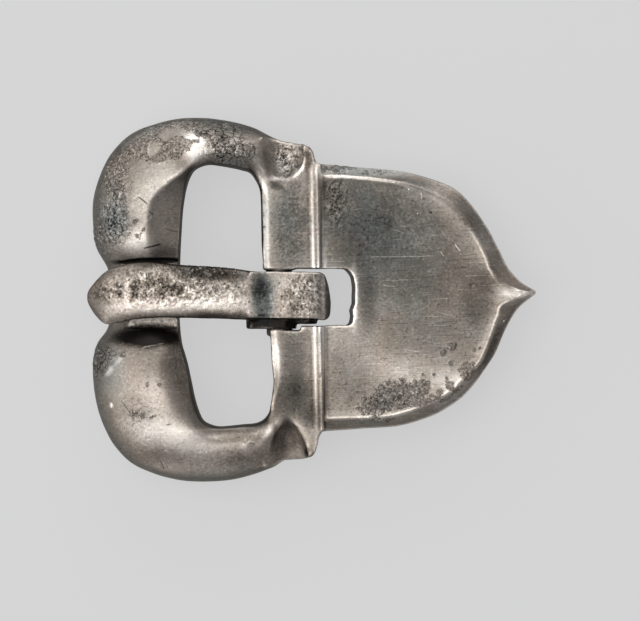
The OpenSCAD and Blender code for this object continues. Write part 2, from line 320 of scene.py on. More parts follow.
# %% Bend the loop
# u runs across the section from the outer foot 0 to the inner foot 1, heights are in millimetres.
LOOP_COLUMNS = ("outer_x", "outer_y", "inner_x", "inner_y", "crest_height", "crest_place",
                "rim_height", "underside", "bend_of_fall")
LOOP_ROWS = [
    [-2.10, 12.65, -4.30, 9.10, 5.7, 0.60, 5.1, 2.8, 2.0],
    [-3.25, 13.15, -4.90, 10.10, 5.9, 0.58, 5.0, 2.0, 2.0],
    [-4.50, 13.80, -5.65, 10.40, 6.1, 0.58, 5.1, 1.2, 2.0],
    [-6.30, 14.35, -6.55, 10.60, 6.3, 0.60, 5.3, 0.5, 2.0],
    [-8.40, 14.65, -7.45, 10.75, 6.5, 0.66, 5.6, 0.1, 2.0],
    [-10.55, 14.65, -8.25, 10.85, 6.7, 0.74, 6.0, 0, 2.0],
    [-12.65, 14.20, -8.90, 10.70, 6.9, 0.86, 6.3, 0, 1.4],
    [-14.60, 13.40, -9.45, 10.35, 7.1, 0.90, 6.4, 0, 1.2],
    [-16.00, 12.05, -9.80, 9.75, 7.3, 0.87, 6.1, 0, 1.1],
    [-16.95, 10.45, -10.05, 9.00, 7.4, 0.78, 5.7, 0, 1.1],
    [-17.60, 8.35, -10.30, 7.65, 7.4, 0.65, 5.5, 0, 1.1],
    [-17.70, 6.35, -10.45, 5.95, 7.3, 0.63, 5.4, 0, 1.1],
    [-17.45, 4.30, -10.55, 4.25, 6.9, 0.62, 5.4, 0, 1.1],
    [-16.50, 2.45, -10.60, 2.75, 5.9, 0.60, 5.2, 0, 1.2],
    [-16.20, 0.20, -10.65, 0.20, 5.3, 0.60, 5.1, 0, 1.2],
    [-16.45, -2.15, -10.60, -2.15, 5.8, 0.65, 5.2, 0, 1.2],
    [-17.40, -3.65, -10.40, -3.60, 6.9, 0.78, 5.6, 0, 1.2],
    [-17.70, -5.70, -10.00, -5.05, 7.3, 0.74, 5.5, 0, 1.3],
    [-17.50, -7.95, -9.60, -7.00, 7.4, 0.75, 5.5, 0, 1.4],
    [-16.95, -9.90, -9.30, -8.25, 7.4, 0.79, 5.7, 0, 1.4],
    [-16.05, -11.65, -9.00, -9.15, 7.3, 0.81, 5.9, 0, 1.4],
    [-14.70, -13.10, -8.65, -9.75, 7.1, 0.82, 5.9, 0, 1.4],
    [-12.85, -14.00, -8.05, -10.07, 6.9, 0.78, 5.8, 0, 1.5],
    [-10.80, -14.55, -7.45, -10.20, 6.7, 0.73, 5.6, 0, 1.6],
    [-8.65, -14.70, -6.55, -10.14, 6.5, 0.68, 5.4, 0.1, 1.6],
    [-6.60, -14.55, -5.55, -10.02, 6.3, 0.64, 5.2, 0.5, 1.6],
    [-4.85, -14.15, -4.50, -9.90, 6.1, 0.62, 5.1, 1.2, 1.7],
    [-3.55, -13.70, -3.85, -9.60, 5.9, 0.62, 5.1, 2.0, 1.8],
    [-2.50, -13.10, -3.40, -9.00, 5.7, 0.62, 5.1, 2.8, 2.0],
]
# The shares of the way round at which the section's legs end: heel, wall, crown, fall, lean, inside, under.
LOOP_LEGS = (0, 0.04, 0.1, 0.5, 0.78, 0.84, 0.9, 1)
SECTION_SIDES, STEPS_A_ROW = 50, 8
LOOP_KNOBS = {"Steep share": 0.36, "Foot inset": 0.06, "Foot height": 0.45, "Wall lean": 0.18,
              "Wall drop": 1.1}
tree, knob = geometry_tree("two_lobed_loop", **LOOP_KNOBS, Material=None)
tube, way, on_ring, read = tube_on_rows(tree, knob["Geometry"], SECTION_SIDES)
outer_x, outer_y, inner_x, inner_y, high, crest, rim, low, bend = (read(name) for name in LOOP_COLUMNS)
steep_share, foot, foot_h, lean_mm, drop = (Wire(tree, knob[name]) for name in LOOP_KNOBS)
steep_top = low + (high - low) * steep_share
across_x, across_y = inner_x - outer_x, inner_y - outer_y
lean = lean_mm / (across_x * across_x + across_y * across_y).math("SQRT")
heel, wall, crown, fall, leaning, inside, under = legs(way, LOOP_LEGS)
turn = crown * (math.pi / 2)
u = foot - foot * 0.8 * heel - foot * 0.2 * wall + crest * (1 - turn.math("COSINE"))
u = u + (1 - lean - crest) * fall + lean * leaning - foot / 3 * inside - (1 - foot * 4 / 3) * under
z = low + foot_h * heel + (steep_top - low - foot_h) * wall + (high - steep_top) * turn.math("SINE")
z = z - (high - rim) * fall.math("POWER", bend) - drop * leaning - (rim - drop - low) * inside
# The two end fans meet in the middle of the section.
u = 0.5 + (u - 0.5) * on_ring
z = (low + rim) / 2 + (z - (low + rim) / 2) * on_ring
bend_tube(tree, tube, outer_x + across_x * u, outer_y + across_y * u, z.math("MAXIMUM", 0), knob["Material"])
loop_rows = rows_on_bench("loop", LOOP_COLUMNS, LOOP_ROWS, STEPS_A_ROW)
loop = outwards(grow(loop_rows, tree, Material=cast_silver))
print("loop:", len(loop.data.vertices), "corners, box", size_of(loop))

# %% [markdown]
# ## The plate
# The plate is a shield that ends in a point. Its panel is very slightly dished, a fine crest runs round
# it, and outside the crest the metal falls away in a hollow bevel to a thin upright rim. One skin does
# all of it: rings that start under the plate, climb the rim and the bevel and then close in on the panel.

# %% The plate's edge and its rings
BACK_Z, RIM_Z, RIM_T, CREST_Z, PANEL_Z = 3.3, 4.3, 0.45, 5.3, 5.1
TIP_X, TIP_CREST_Z, TIP_RUN = 18.05, 4.75, 2.5
# Columns: rim x, y; crest x, y.
PLATE_UPPER = [
    [0.10, 10.95, 0.10, 9.95], [1.60, 10.85, 1.60, 9.95], [3.15, 10.70, 3.15, 9.90],
    [7.10, 10.35, 6.70, 9.50], [9.70, 9.70, 9.05, 8.75], [11.60, 8.85, 10.75, 7.85],
    [12.90, 7.55, 12.05, 6.65], [14.20, 5.70, 13.10, 5.20], [15.15, 3.85, 13.90, 3.65],
    [15.80, 2.55, 14.45, 2.25], [16.80, 1.45, 15.50, 1.15], [TIP_X, 0.70, 17.45, 0.58],
]
PLATE_LOWER = [
    [TIP_X, 0.48, 17.45, 0.50], [16.80, -0.50, 15.40, -0.35], [16.15, -1.40, 14.95, -1.35],
    [15.50, -2.60, 14.45, -2.85], [14.85, -4.10, 13.95, -4.15], [14.20, -5.20, 13.40, -5.20],
    [12.90, -7.00, 12.20, -6.35], [11.60, -8.25, 11.00, -7.45], [9.70, -9.35, 9.10, -8.50],
    [7.10, -10.15, 6.80, -9.25], [4.70, -10.35, 4.60, -9.50], [0.10, -10.65, 0.10, -9.60],
]
PANEL_MIDDLE = np.array([7.0, 0.0])
BEVEL_HOLLOW, EDGE_STEPS = 1.25, 10
# Shares of the way up the bevel and from the crest to the panel's middle at which the rings lie.
BEVEL_RINGS = (0.15, 0.3, 0.45, 0.6, 0.75, 0.9, 1.0)
PANEL_RINGS = (0.02, 0.05, 0.08, 0.12, 0.18, 0.26, 0.36, 0.5, 0.75)
edge = np.vstack([smooth_rows(PLATE_UPPER, EDGE_STEPS), smooth_rows(PLATE_LOWER, EDGE_STEPS)])
rim_line, crest_line = edge[:, :2], edge[:, 2:]
near_tip = np.clip((crest_line[:, 0] - TIP_X + TIP_RUN) / TIP_RUN, 0, 1)
crest_z = CREST_Z + (TIP_CREST_Z - CREST_Z) * near_tip
# Where the crest is higher than the panel it falls quickly, and near the tip the panel sinks to it slowly.
fall_share = np.where(crest_z < PANEL_Z, 0.4, 0.1)


def ring_at(points, heights):
    """One ring of the plate's skin, from its points seen from above and their heights."""
    return np.column_stack([points, np.broadcast_to(heights, len(points))])


plate_rings = [ring_at(crest_line, BACK_Z), ring_at(rim_line, RIM_Z - RIM_T), ring_at(rim_line, RIM_Z)]
for s in BEVEL_RINGS:
    height = RIM_Z + (crest_z - RIM_Z) * s**BEVEL_HOLLOW
    plate_rings.append(ring_at(rim_line + (crest_line - rim_line) * s, height))
for s in PANEL_RINGS:
    height = PANEL_Z + (crest_z - PANEL_Z) * np.clip(1 - s / fall_share, 0, 1) ** 2
    plate_rings.append(ring_at(crest_line + (PANEL_MIDDLE - crest_line) * s, height))
plate = skin("plate", plate_rings)
print("plate:", len(plate.data.vertices), "corners")

# %% [markdown]
# ## The bar and its corner terminals
# A flat bar crosses the buckle between loop and plate. At each end it swells into a terminal with a
# scoop, as if a gouge had been pushed in from outside. Bar and terminals are outlines pushed through a
# thickness. The scoops and the bevel on the bar's edge are cut later, once all is one casting.

# %% Bar and terminals
# The bar's foot and the terminals' reach a little below the plate's back, so that the solids overlap.
BAR_TOP_Z, BAR_FOOT_Z, TERMINAL_FOOT_Z = 5.35, 3.25, 3.1
BAR_UPPER = [(-3.95, 2.0), (-3.95, 3.2), (-4.06, 4.6), (-4.1, 7.6), (-4.16, 8.6), (-4.4, 9.6),
             (-4.0, 10.4), (0.75, 10.4), (0.75, 2.0)]
BAR_LOWER = [(-3.4, -2.0), (-3.22, -5.0), (-3.08, -6.6), (-3.25, -8.1), (-3.4, -9.0), (-3.6, -10.4),
             (1.0, -10.4), (1.0, -2.0)]
TERMINAL_UPPER = [(-4.0, 9.3), (-4.0, 13.3), (-3.15, 13.05), (-2.5, 12.78), (-1.6, 12.63), (-0.65, 12.47),
                  (-0.2, 12.3), (0.08, 11.95), (0.2, 11.4), (0.35, 11.05), (0.7, 10.85), (0.7, 9.3)]
TERMINAL_LOWER = [(-3.6, -9.3), (-4.0, -13.6), (-3.25, -13.6), (-2.75, -13.25), (-2.25, -12.9),
                  (-0.6, -12.82), (0.0, -12.65), (0.28, -12.3), (0.45, -11.7), (0.55, -11.1),
                  (0.75, -10.75), (0.9, -9.3)]
TERMINAL_FROM_Y, TERMINAL_RISE = 9.3, 0.15
HAIR = 0.01


def terminal(name, outline):
    """A terminal that starts a hair above the bar and has risen a little one millimetre further out."""
    piece = prism(name, outline, TERMINAL_FOOT_Z, BAR_TOP_Z)
    for corner in piece.data.vertices:
        if corner.co.z > BAR_TOP_Z - HAIR:
            corner.co.z += TERMINAL_RISE * min(max(abs(corner.co.y) - TERMINAL_FROM_Y, 0), 1) + HAIR
    return piece


casting = loop
combine(casting, plate, "UNION")
combine(casting, prism("bar_upper", BAR_UPPER, BAR_FOOT_Z, BAR_TOP_Z), "UNION")
combine(casting, prism("bar_lower", BAR_LOWER, BAR_FOOT_Z, BAR_TOP_Z), "UNION")
combine(casting, terminal("terminal_upper", TERMINAL_UPPER), "UNION")
combine(casting, terminal("terminal_lower", TERMINAL_LOWER), "UNION")
print("casting:", len(casting.data.vertices), "corners")

# %% [markdown]
# ## The double ridge
# Two fine beads run side by side along the bar's edge, a touch out of true. A straight line is cut into
# short steps, each step is pushed a hair by noise as hand-finished wax would be, and a small circle is
# swept along it. The swept bead is set on two points.

# %% Grow the double ridge
RIDGE_LEAN = math.radians(1.1)
RIDGE_Y = (-10.55, 10.85)
RIDGE_STEPS, RIDGE_SIDES = 160, 20
RIDGE_SINK = 0.02
# Columns: place x; width and height as shares of the round bead.
BEADS = [(0.25, 1.3, 0.8), (0.62, 0.65, 0.8)]
tree, knob = geometry_tree("double_ridge", Radius=0.24, Wander=0.03, Unevenness=0.18, Material=None)
line = node(tree, "GeometryNodeCurvePrimitiveLine", {"Start": (0, RIDGE_Y[0], 0), "End": (0, RIDGE_Y[1], 0)})
steps = node(tree, "GeometryNodeResampleCurve", {"Curve": line.outputs[0], "Count": RIDGE_STEPS})
wave = node(tree, "ShaderNodeTexNoise", {"Scale": 0.55, "Detail": 2.0})
push = node(tree, "ShaderNodeVectorMath", {0: wave.outputs["Color"], 1: (0.5, 0.5, 0.5)},
            operation="SUBTRACT")
reach = calc(tree, "MULTIPLY", knob["Wander"], 2)
pushed = node(tree, "ShaderNodeVectorMath", {0: push.outputs[0], "Scale": reach}, operation="SCALE")
laid = node(tree, "GeometryNodeSetPosition", {"Geometry": steps.outputs[0], "Offset": pushed.outputs[0]})
swelling = node(tree, "ShaderNodeTexNoise", {"Scale": 1.3, "Detail": 1.0}).outputs[0]
girth = calc(tree, "MULTIPLY_ADD", calc(tree, "SUBTRACT", swelling, 0.5), knob["Unevenness"], 1)
circle = node(tree, "GeometryNodeCurvePrimitiveCircle", {"Resolution": RIDGE_SIDES, "Radius": knob["Radius"]})
bead = node(tree, "GeometryNodeCurveToMesh",
            {"Curve": laid.outputs[0], "Profile Curve": circle.outputs[0], "Scale": girth, "Fill Caps": True})
flat = node(tree, "ShaderNodeCombineXYZ", {0: named(tree, "width"), 1: 1, 2: named(tree, "height")})
set_on = node(tree, "GeometryNodeInstanceOnPoints",
              {"Points": knob["Geometry"], "Instance": bead.outputs[0], "Rotation": (0, 0, RIDGE_LEAN),
               "Scale": flat.outputs[0]})
finish_tree(tree, set_on.outputs[0], knob["Material"])
ridge = on_bench("double_ridge", [(x, 0, BAR_TOP_Z - RIDGE_SINK) for x, width, height in BEADS], [])
keep_value(ridge, "width", [width for x, width, height in BEADS])
keep_value(ridge, "height", [height for x, width, height in BEADS])
grow(ridge, tree, Material=cast_silver)
print("double ridge:", len(ridge.data.vertices), "corners")
combine(casting, ridge, "UNION")

# %% [markdown]
# ## Cuts: slot, hook gap and seat
# The slot in the plate is roughly cut, so its outline wanders a little, and its far wall leans. The gap
# beside it lets the tongue's hook down to the hinge bar, and the channel across the loop is where the
# tongue lies. A closed cutter that reaches well past the casting makes each of them.

# %% Cut the slot, the hook gap and the seat
SEAT_Z = 5.1
# Heights that are well below and well above the casting.
BELOW, ABOVE = -1, 10
SLOT_TOP = [(-1.4, -2.07), (0.6, -2.1), (1.7, -2.05), (2.55, -2.02), (2.97, -2.06), (3.26, -1.85),
            (3.33, -1.3), (3.27, -0.85), (3.47, -0.3), (3.45, 0.3), (3.5, 0.9), (3.42, 1.35), (3.38, 1.75),
            (3.1, 2.2), (2.8, 2.44), (2.3, 2.47), (1.6, 2.5), (0.5, 2.45), (-1.4, 2.47)]
# The far wall leans this much, from the height of the lip down; the lean grows from 0 over a run of x.
SLOT_LEAN, SLOT_LIP_Z, LEAN_FROM_X, LEAN_RUN = 0.3, 5.15, 1.5, 1.5
HOOK_GAP = [(-4.6, -2.43), (-0.9, -2.43), (-0.9, 2.38), (-4.6, 2.4)]
SEAT = [(-20, -2.35), (-9.5, -2.35), (-9.5, 3.2), (-11.5, 3.3), (-13.8, 3.33), (-15.4, 3.1), (-16.6, 2.8),
        (-20, 2.8)]


def slot_ring(z, lean):
    """The slot's outline, its far end drawn in towards the loop by the wall's lean."""
    return [(x - lean * min(max(x - LEAN_FROM_X, 0) / LEAN_RUN, 1), y, z) for x, y in SLOT_TOP]


slot_rings = [slot_ring(BELOW, SLOT_LEAN), slot_ring(BACK_Z, SLOT_LEAN), slot_ring(SLOT_LIP_Z, 0),
              slot_ring(ABOVE, 0)]
combine(casting, skin("slot", slot_rings), "DIFFERENCE")
combine(casting, prism("hook_gap", HOOK_GAP, BELOW, ABOVE), "DIFFERENCE")
combine(casting, prism("seat", SEAT, SEAT_Z, ABOVE), "DIFFERENCE")
print("casting with its openings:", len(casting.data.vertices), "corners")

# %% [markdown]
# ## The bar's bevel and the corner scoops
# A graver takes the bar's sharp edge off in a shallow bevel. Its cutter is a bar with a diamond section,
# laid along the edge. Each scoop is a boat shape: seen from above an arch of two arcs that meet at its
# apex, pointed in the lower scoop and nearly round in the upper one. Its floor is lowest along its middle
# and sinks towards the mouth.

# %% Cut the bevels and the scoops
# Columns: x, y, reach of the bevel.
BEVEL_UPPER = [(-3.98, 2.0, 0.5), (-4.04, 4.0, 0.52), (-4.1, 6.0, 0.56), (-4.14, 7.6, 0.58),
               (-4.25, 8.8, 0.52), (-4.6, 9.8, 0.35), (-5.0, 10.3, 0.05)]
BEVEL_LOWER = [(-3.4, -2.2, 0.35), (-3.3, -4.0, 0.5), (-3.15, -5.6, 0.5), (-3.08, -6.8, 0.35),
               (-3.2, -8.0, 0.1)]
BEVEL_FALL, BEVEL_STEPS = 0.5, 6


def bevel_cut(name, path):
    """A diamond-section cutter along a path of x, y and the bevel's reach."""
    p = smooth_rows(path, BEVEL_STEPS)
    along = np.gradient(p[:, :2], axis=0)
    side = np.column_stack([-along[:, 1], along[:, 0]]) / np.linalg.norm(along, axis=1)[:, None]
    rings = []
    for (x, y, reach), (nx, ny) in zip(p, side):
        rings.append([(x - nx * reach, y - ny * reach, BAR_TOP_Z), (x, y, BAR_TOP_Z - reach * BEVEL_FALL),
                      (x + nx * reach, y + ny * reach, BAR_TOP_Z), (x, y, BAR_TOP_Z + reach)])
    return skin(name, rings)


# A scoop's floor starts this much higher at the apex, sinks with the run and climbs at its two sides.
SCOOP_FLOOR_Z, SCOOP_SHOAL, SCOOP_SINK, SCOOP_CHEEK, CHEEK_BEND = 4.75, 0.55, 0.14, 0.75, 2.2
SCOOP_REACH, SCOOP_LID_Z = 5.5, 9
SCOOP_STEPS, FLOOR_STEPS = 24, 13


def scoop(name, apex_x, apex_y, way, width, arc):
    """A boat-shaped cutter with its point at the apex and its mouth towards way, +1 up or -1 down."""
    off = arc - width / 2
    arch = math.sqrt(arc**2 - off**2)
    outline = []
    for s in np.linspace(0.004, 1, SCOOP_STEPS):
        run = s * arch
        outline.append((run, max(math.sqrt(arc**2 - (arch - run) ** 2) - off, HAIR)))
    outline.append((SCOOP_REACH, width / 2))
    rings = []
    for run, half in outline:
        y = apex_y + way * run
        full = half / (width / 2)
        deep = SCOOP_FLOOR_Z + SCOOP_SHOAL * (1 - full) - SCOOP_SINK * run
        floor = [(apex_x + half * u, y, deep + SCOOP_CHEEK * abs(u) ** CHEEK_BEND * full)
                 for u in np.linspace(-1, 1, FLOOR_STEPS)]
        rings.append(floor + [(apex_x + half, y, SCOOP_LID_Z), (apex_x - half, y, SCOOP_LID_Z)])
    return skin(name, rings)


combine(casting, bevel_cut("bevel_upper", BEVEL_UPPER), "DIFFERENCE")
combine(casting, bevel_cut("bevel_lower", BEVEL_LOWER), "DIFFERENCE")
combine(casting, scoop("scoop_upper", -2.3, 9.6, 1, width=3.2, arc=1.85), "DIFFERENCE")
combine(casting, scoop("scoop_lower", -1.9, -9.5, -1, width=3.1, arc=4.4), "DIFFERENCE")
print("cut casting:", len(casting.data.vertices), "corners")

# %% [markdown]
# ## The lugs on the back
# The back isn't in view from above. Cast buckles are held to leather by pierced lugs, so three are set
# there: a rounded tab as tall as the space under the plate, with a round hole across the buckle. Each is
# a short cylinder and a block, joined and then drilled, and one tree sets it on three points.

# %% Grow the lugs and lay the hinge bar
LUG_R, LUG_HOLE_R, LUG_T = 1.6, 0.8, 1.2
LUG_PLACES = [(5.4, -7.2, LUG_R), (5.4, 7.2, LUG_R), (12.6, 0, LUG_R)]
LUG_SIDES, LUG_BITE, DRILL_LENGTH = 64, 0.4, 5.0
HINGE_X, HINGE_Z, HINGE_R, HINGE_REACH = -2.66, 4.3, 1.0, 2.9
tree, knob = geometry_tree("pierced_lugs", Radius=LUG_R, Hole=LUG_HOLE_R, Thickness=LUG_T, Height=BACK_Z,
                           Material=None)
tab = node(tree, "GeometryNodeMeshCylinder",
           {"Vertices": LUG_SIDES, "Radius": knob["Radius"], "Depth": knob["Thickness"]})
rise = calc(tree, "ADD", calc(tree, "SUBTRACT", knob["Height"], knob["Radius"]), LUG_BITE)
size = node(tree, "ShaderNodeCombineXYZ",
            {0: calc(tree, "MULTIPLY", knob["Radius"], 2), 1: rise, 2: knob["Thickness"]})
block = node(tree, "GeometryNodeMeshCube", {"Size": size.outputs[0]})
lift = node(tree, "ShaderNodeCombineXYZ", {1: calc(tree, "DIVIDE", rise, 2)})
stem = node(tree, "GeometryNodeTransform", {"Geometry": block.outputs[0], "Translation": lift.outputs[0]})
joined = node(tree, "GeometryNodeMeshBoolean", operation="UNION", solver="MANIFOLD")
tree.links.new(tab.outputs[0], joined.inputs[1])
tree.links.new(stem.outputs[0], joined.inputs[1])
drill = node(tree, "GeometryNodeMeshCylinder",
             {"Vertices": LUG_SIDES, "Radius": knob["Hole"], "Depth": DRILL_LENGTH})
drilled = node(tree, "GeometryNodeMeshBoolean", {0: joined.outputs[0], 1: drill.outputs[0]},
               operation="DIFFERENCE", solver="MANIFOLD")
set_on = node(tree, "GeometryNodeInstanceOnPoints",
              {"Points": knob["Geometry"], "Instance": drilled.outputs[0], "Rotation": (math.pi / 2, 0, 0)})
finish_tree(tree, set_on.outputs[0], knob["Material"])
lugs = grow(on_bench("pierced_lugs", LUG_PLACES, []), tree, Material=cast_silver)


def round_bar(name, radius, reach, sides=96):
    """A round bar across the buckle on the hinge's axis."""
    turns = np.linspace(0, 2 * math.pi, sides, endpoint=False)
    outline = [(HINGE_X + radius * math.cos(a), HINGE_Z + radius * math.sin(a)) for a in turns]
    return prism(name, outline, -reach, reach, "y")


combine(casting, lugs, "UNION")
combine(casting, round_bar("hinge_bar", HINGE_R, HINGE_REACH), "UNION")
print("whole casting:", len(casting.data.vertices), "corners")

# %% [markdown]
# ## The tongue
# The tongue is a thick leaf with a crowned top that narrows to a blunt point. At the bar it turns into a
# square block, and under the block a hook goes down through the gap and round the hinge bar. The leaf is
# a tube bent over rows, as the loop is. The block and the hook are side views pushed across, and the block
# is cut to its outline from above.

# %% Bend the tongue's leaf
TONGUE_LIE = 5.25
# Across the section w runs from the lower edge -1 to the upper edge 1, heights are above the tongue's lie.
TONGUE_COLUMNS = ("x", "upper_y", "lower_y", "underside", "crown")
TONGUE_ROWS = [
    [-18.05, 0.45, -0.10, -0.50, -0.05], [-17.85, 0.90, -0.55, -0.75, 0.35],
    [-17.25, 1.60, -1.40, -0.75, 0.90], [-16.55, 2.25, -1.95, -0.30, 1.35], [-15.60, 2.65, -1.85, 0, 1.65],
    [-14.35, 2.95, -1.60, 0, 1.85], [-12.40, 3.00, -1.42, 0, 2.00], [-10.65, 2.80, -1.45, 0, 2.05],
    [-8.30, 2.65, -1.50, 0.05, 2.00], [-6.05, 2.45, -1.58, 0.05, 1.90], [-4.40, 2.25, -1.65, 0.05, 1.78],
]
# The shares of the way round at which the section's legs end: heel, rise, crown, down, toe, under.
TONGUE_LEGS = (0, 0.06, 0.12, 0.72, 0.78, 0.84, 1)
TONGUE_KNOBS = {"Side share": 0.62, "Crown power": 0.7, "Foot inset": 0.1, "Foot height": 0.2,
                "Lie": TONGUE_LIE}
tree, knob = geometry_tree("tongue_leaf", **TONGUE_KNOBS, Material=None)
tube, way, on_ring, read = tube_on_rows(tree, knob["Geometry"], SECTION_SIDES)
x, upper, lower, underside, crown = (read(name) for name in TONGUE_COLUMNS)
side_share, crown_power, inset, foot_h, lie = (Wire(tree, knob[name]) for name in TONGUE_KNOBS)
low, top = underside + lie, crown + lie
middle, half = (upper + lower) / 2, (upper - lower) / 2
side = low + (top - low) * side_share
heel, rise, over, down, toe, under = legs(way, TONGUE_LEGS)
turn = over * math.pi
w = inset - 1 - inset * heel + (1 - turn.math("COSINE")) - inset * toe - (2 - 2 * inset) * under
z = low + foot_h * heel + (side - low - foot_h) * (rise - down) - foot_h * toe
z = z + (top - side) * turn.math("SINE").math("MAXIMUM", 0).math("POWER", crown_power)
w = w * on_ring
z = (low + side) / 2 + (z - (low + side) / 2) * on_ring
bend_tube(tree, tube, x, middle + half * w, z, knob["Material"])
leaf_rows = rows_on_bench("tongue", TONGUE_COLUMNS, TONGUE_ROWS, STEPS_A_ROW)
tongue = outwards(grow(leaf_rows, tree, Material=tongue_silver))
print("tongue's leaf:", len(tongue.data.vertices), "corners, box", size_of(tongue))

# %% Add the block and the hook
# Side views are x and z from the hinge's axis. The block's top view is x and y.
BLOCK_SIDE = [(-2.4, 2.70), (1.0, 2.70), (2.4, 2.68), (3.2, 2.55), (3.7, 2.25), (4.0, 1.6), (4.2, 0.8),
              (4.2, -0.5), (3.95, -1.3), (3.3, -1.9), (2.4, -2.15), (-1.8, -2.15), (-2.3, -2.0),
              (-2.6, -1.6), (-2.6, 1.0), (-2.4, 2.0)]
BLOCK_TOP = [(-5.4, 2.32), (-4.4, 2.25), (0.7, 2.22), (1.05, 2.0), (1.35, 1.1), (1.54, -0.3), (1.46, -1.3),
             (1.2, -1.6), (0.85, -1.68), (0.3, -1.52), (-5.4, -1.47)]
FLANK_SIDE = [(-2.62, -1.6), (-2.27, -2.1), (0.95, -2.1), (1.45, -0.6), (1.3, 0.9), (0.6, 1.5), (-2.32, 1.6),
              (-2.62, 0.9)]
HOOK_SIDE = [(-2.0, -1.7), (2.6, -1.7), (3.1, -1.1), (3.1, 0.2), (2.4, 0.9), (-2.0, 0.9)]
FLANK_Y, HOOK_Y = (-2.35, -1.2), (-1.97, -1.2)
SEAM_W, BORE_PLAY = 0.12, 0.09
# More than the tongue's half width, for what is pushed or cut right across it.
ACROSS = 5
SEAM_SIDE = [(-ACROSS, -SEAM_W / 2), (0, -SEAM_W / 2), (0, SEAM_W / 2), (-ACROSS, SEAM_W / 2)]


def across_tongue(name, side_view, from_y=-ACROSS, to_y=ACROSS):
    """A side view about the hinge pushed across the tongue."""
    return prism(name, [(HINGE_X + u, HINGE_Z + v) for u, v in side_view], from_y, to_y, "y")


block = across_tongue("block", BLOCK_SIDE)
combine(block, prism("block_top", BLOCK_TOP, BELOW, ABOVE), "INTERSECT")
combine(tongue, block, "UNION")
combine(tongue, across_tongue("flank", FLANK_SIDE, *FLANK_Y), "UNION")
combine(tongue, across_tongue("hook_side", HOOK_SIDE, *HOOK_Y), "UNION")
combine(tongue, round_bar("bore", HINGE_R + BORE_PLAY, ACROSS), "DIFFERENCE")
combine(tongue, across_tongue("seam", SEAM_SIDE), "DIFFERENCE")
print("tongue:", len(tongue.data.vertices), "corners")

# %% [markdown]
# ## One even skin
# Joined solids have long thin faces that can't carry dents or pits. A voxel remesh lays an even net of
# small squares over the whole casting, as the real one is one surface. The remesh leaves tiny steps, so
# every corner is then moved a little towards the middle of its neighbours, and further where wax was
# smeared over a joint, such as between bar and terminal, or where wear has taken an edge away.

# %% Tools for an even net
FRAME_VOXEL, TONGUE_VOXEL = 0.1, 0.07


def recast(piece, voxel):
    """Covers the piece with an even net of squares of one size."""
    change = piece.modifiers.new("recast", "REMESH")
    change.mode, change.voxel_size, change.adaptivity = "VOXEL", voxel, 0
    return settle(piece)


def corners(piece):
    """The piece's corners as rows of x, y, z."""
    co = np.empty(len(piece.data.vertices) * 3, np.float32)
    piece.data.vertices.foreach_get("co", co)
    return co.reshape(-1, 3).astype(float)


def neighbour_mean(piece):
    """A function that averages any corner value over each corner's neighbours."""
    pairs = np.empty(len(piece.data.edges) * 2, np.int32)
    piece.data.edges.foreach_get("vertices", pairs)
    a, b = pairs.reshape(-1, 2).T
    n = len(piece.data.vertices)
    count = np.maximum(np.bincount(a, minlength=n) + np.bincount(b, minlength=n), 1)

    def mean(value):
        columns = np.atleast_2d(value.T)
        out = [(np.bincount(a, c[b], n) + np.bincount(b, c[a], n)) / count for c in columns]
        return np.array(out).T.reshape(value.shape)

    return mean


def spread(co, places):
    """Soft oval patches added up at each corner: x, y, reach along and across, turn and strength."""
    total = np.zeros(len(co))
    for x, y, rx, ry, turn, strength in places:
        c, s = math.cos(math.radians(turn)), math.sin(math.radians(turn))
        u = ((co[:, 0] - x) * c + (co[:, 1] - y) * s) / rx
        v = ((co[:, 1] - y) * c - (co[:, 0] - x) * s) / ry
        total += strength * np.exp(-((u * u + v * v) ** 1.5))
    return total


def ease(piece, rounds, places=None):
    """Moves corners towards their neighbours' middle, everywhere or only in patches."""
    co, mean = corners(piece), neighbour_mean(piece)
    share = 0.5 if places is None else 0.5 * np.clip(spread(co, places), 0, 1)[:, None]
    for _ in range(rounds):
        co += share * (mean(co) - co)
    piece.data.vertices.foreach_set("co", co.astype(np.float32).ravel())
    piece.data.update()


# %% Recast the solids and ease their joints
# All patches: x, y, reach along and across, turn in degrees, strength. First the joints to smear over.
FRAME_JOINTS = [
    (-2.2, 9.3, 1.9, 0.6, 0, 1), (-2.1, -9.3, 1.9, 0.6, 0, 1), (-4.0, 11.9, 1.0, 1.9, 0, 1),
    (-3.7, -12.2, 1.1, 2.0, 0, 1), (-4.2, 9.6, 0.8, 0.9, 0, 0.8), (-3.6, -9.6, 0.8, 0.7, 0, 0.8),
    (-12.2, -5.6, 1.0, 2.8, -5, 1), (-11.2, -9.2, 1.2, 1.8, -35, 1), (-8.0, -11.4, 3.0, 0.9, 12, 0.8),
    (-12.6, 8.0, 0.6, 2.5, -25, 0.4), (-12.6, 5.0, 0.6, 1.6, 0, 0.8),
]
# The scoops' outer rims and the fall of the lower lobe, which flow over without an edge.
SCOOP_RIMS = [(-3.9, -12.2, 0.9, 2.3, 0, 1), (-4.0, 11.8, 0.8, 2.2, 0, 1), (-0.7, -11.6, 0.7, 2.0, 0, 0.35),
              (-12.0, -6.3, 1.0, 3.2, 10, 1), (-10.8, -9.4, 1.1, 1.8, -35, 1)]
# Where the plate's crest is worn, and where it has nearly gone.
WORN_CREST = [(14.3, -3.4, 0.7, 2.3, -22, 0.6), (12.2, -6.3, 0.7, 2.0, -45, 0.6),
              (9.4, -8.6, 1.6, 0.7, 30, 0.6), (5.0, -9.6, 3.5, 0.6, 2, 0.45), (13.4, 4.6, 0.7, 1.6, 28, 0.6)]
FADED_CREST = [(9.6, 8.55, 2.2, 0.8, -22, 1), (11.7, 7.0, 1.6, 0.8, -48, 1),
               (15.3, 0.9, 1.0, 0.8, -30, 0.6)]
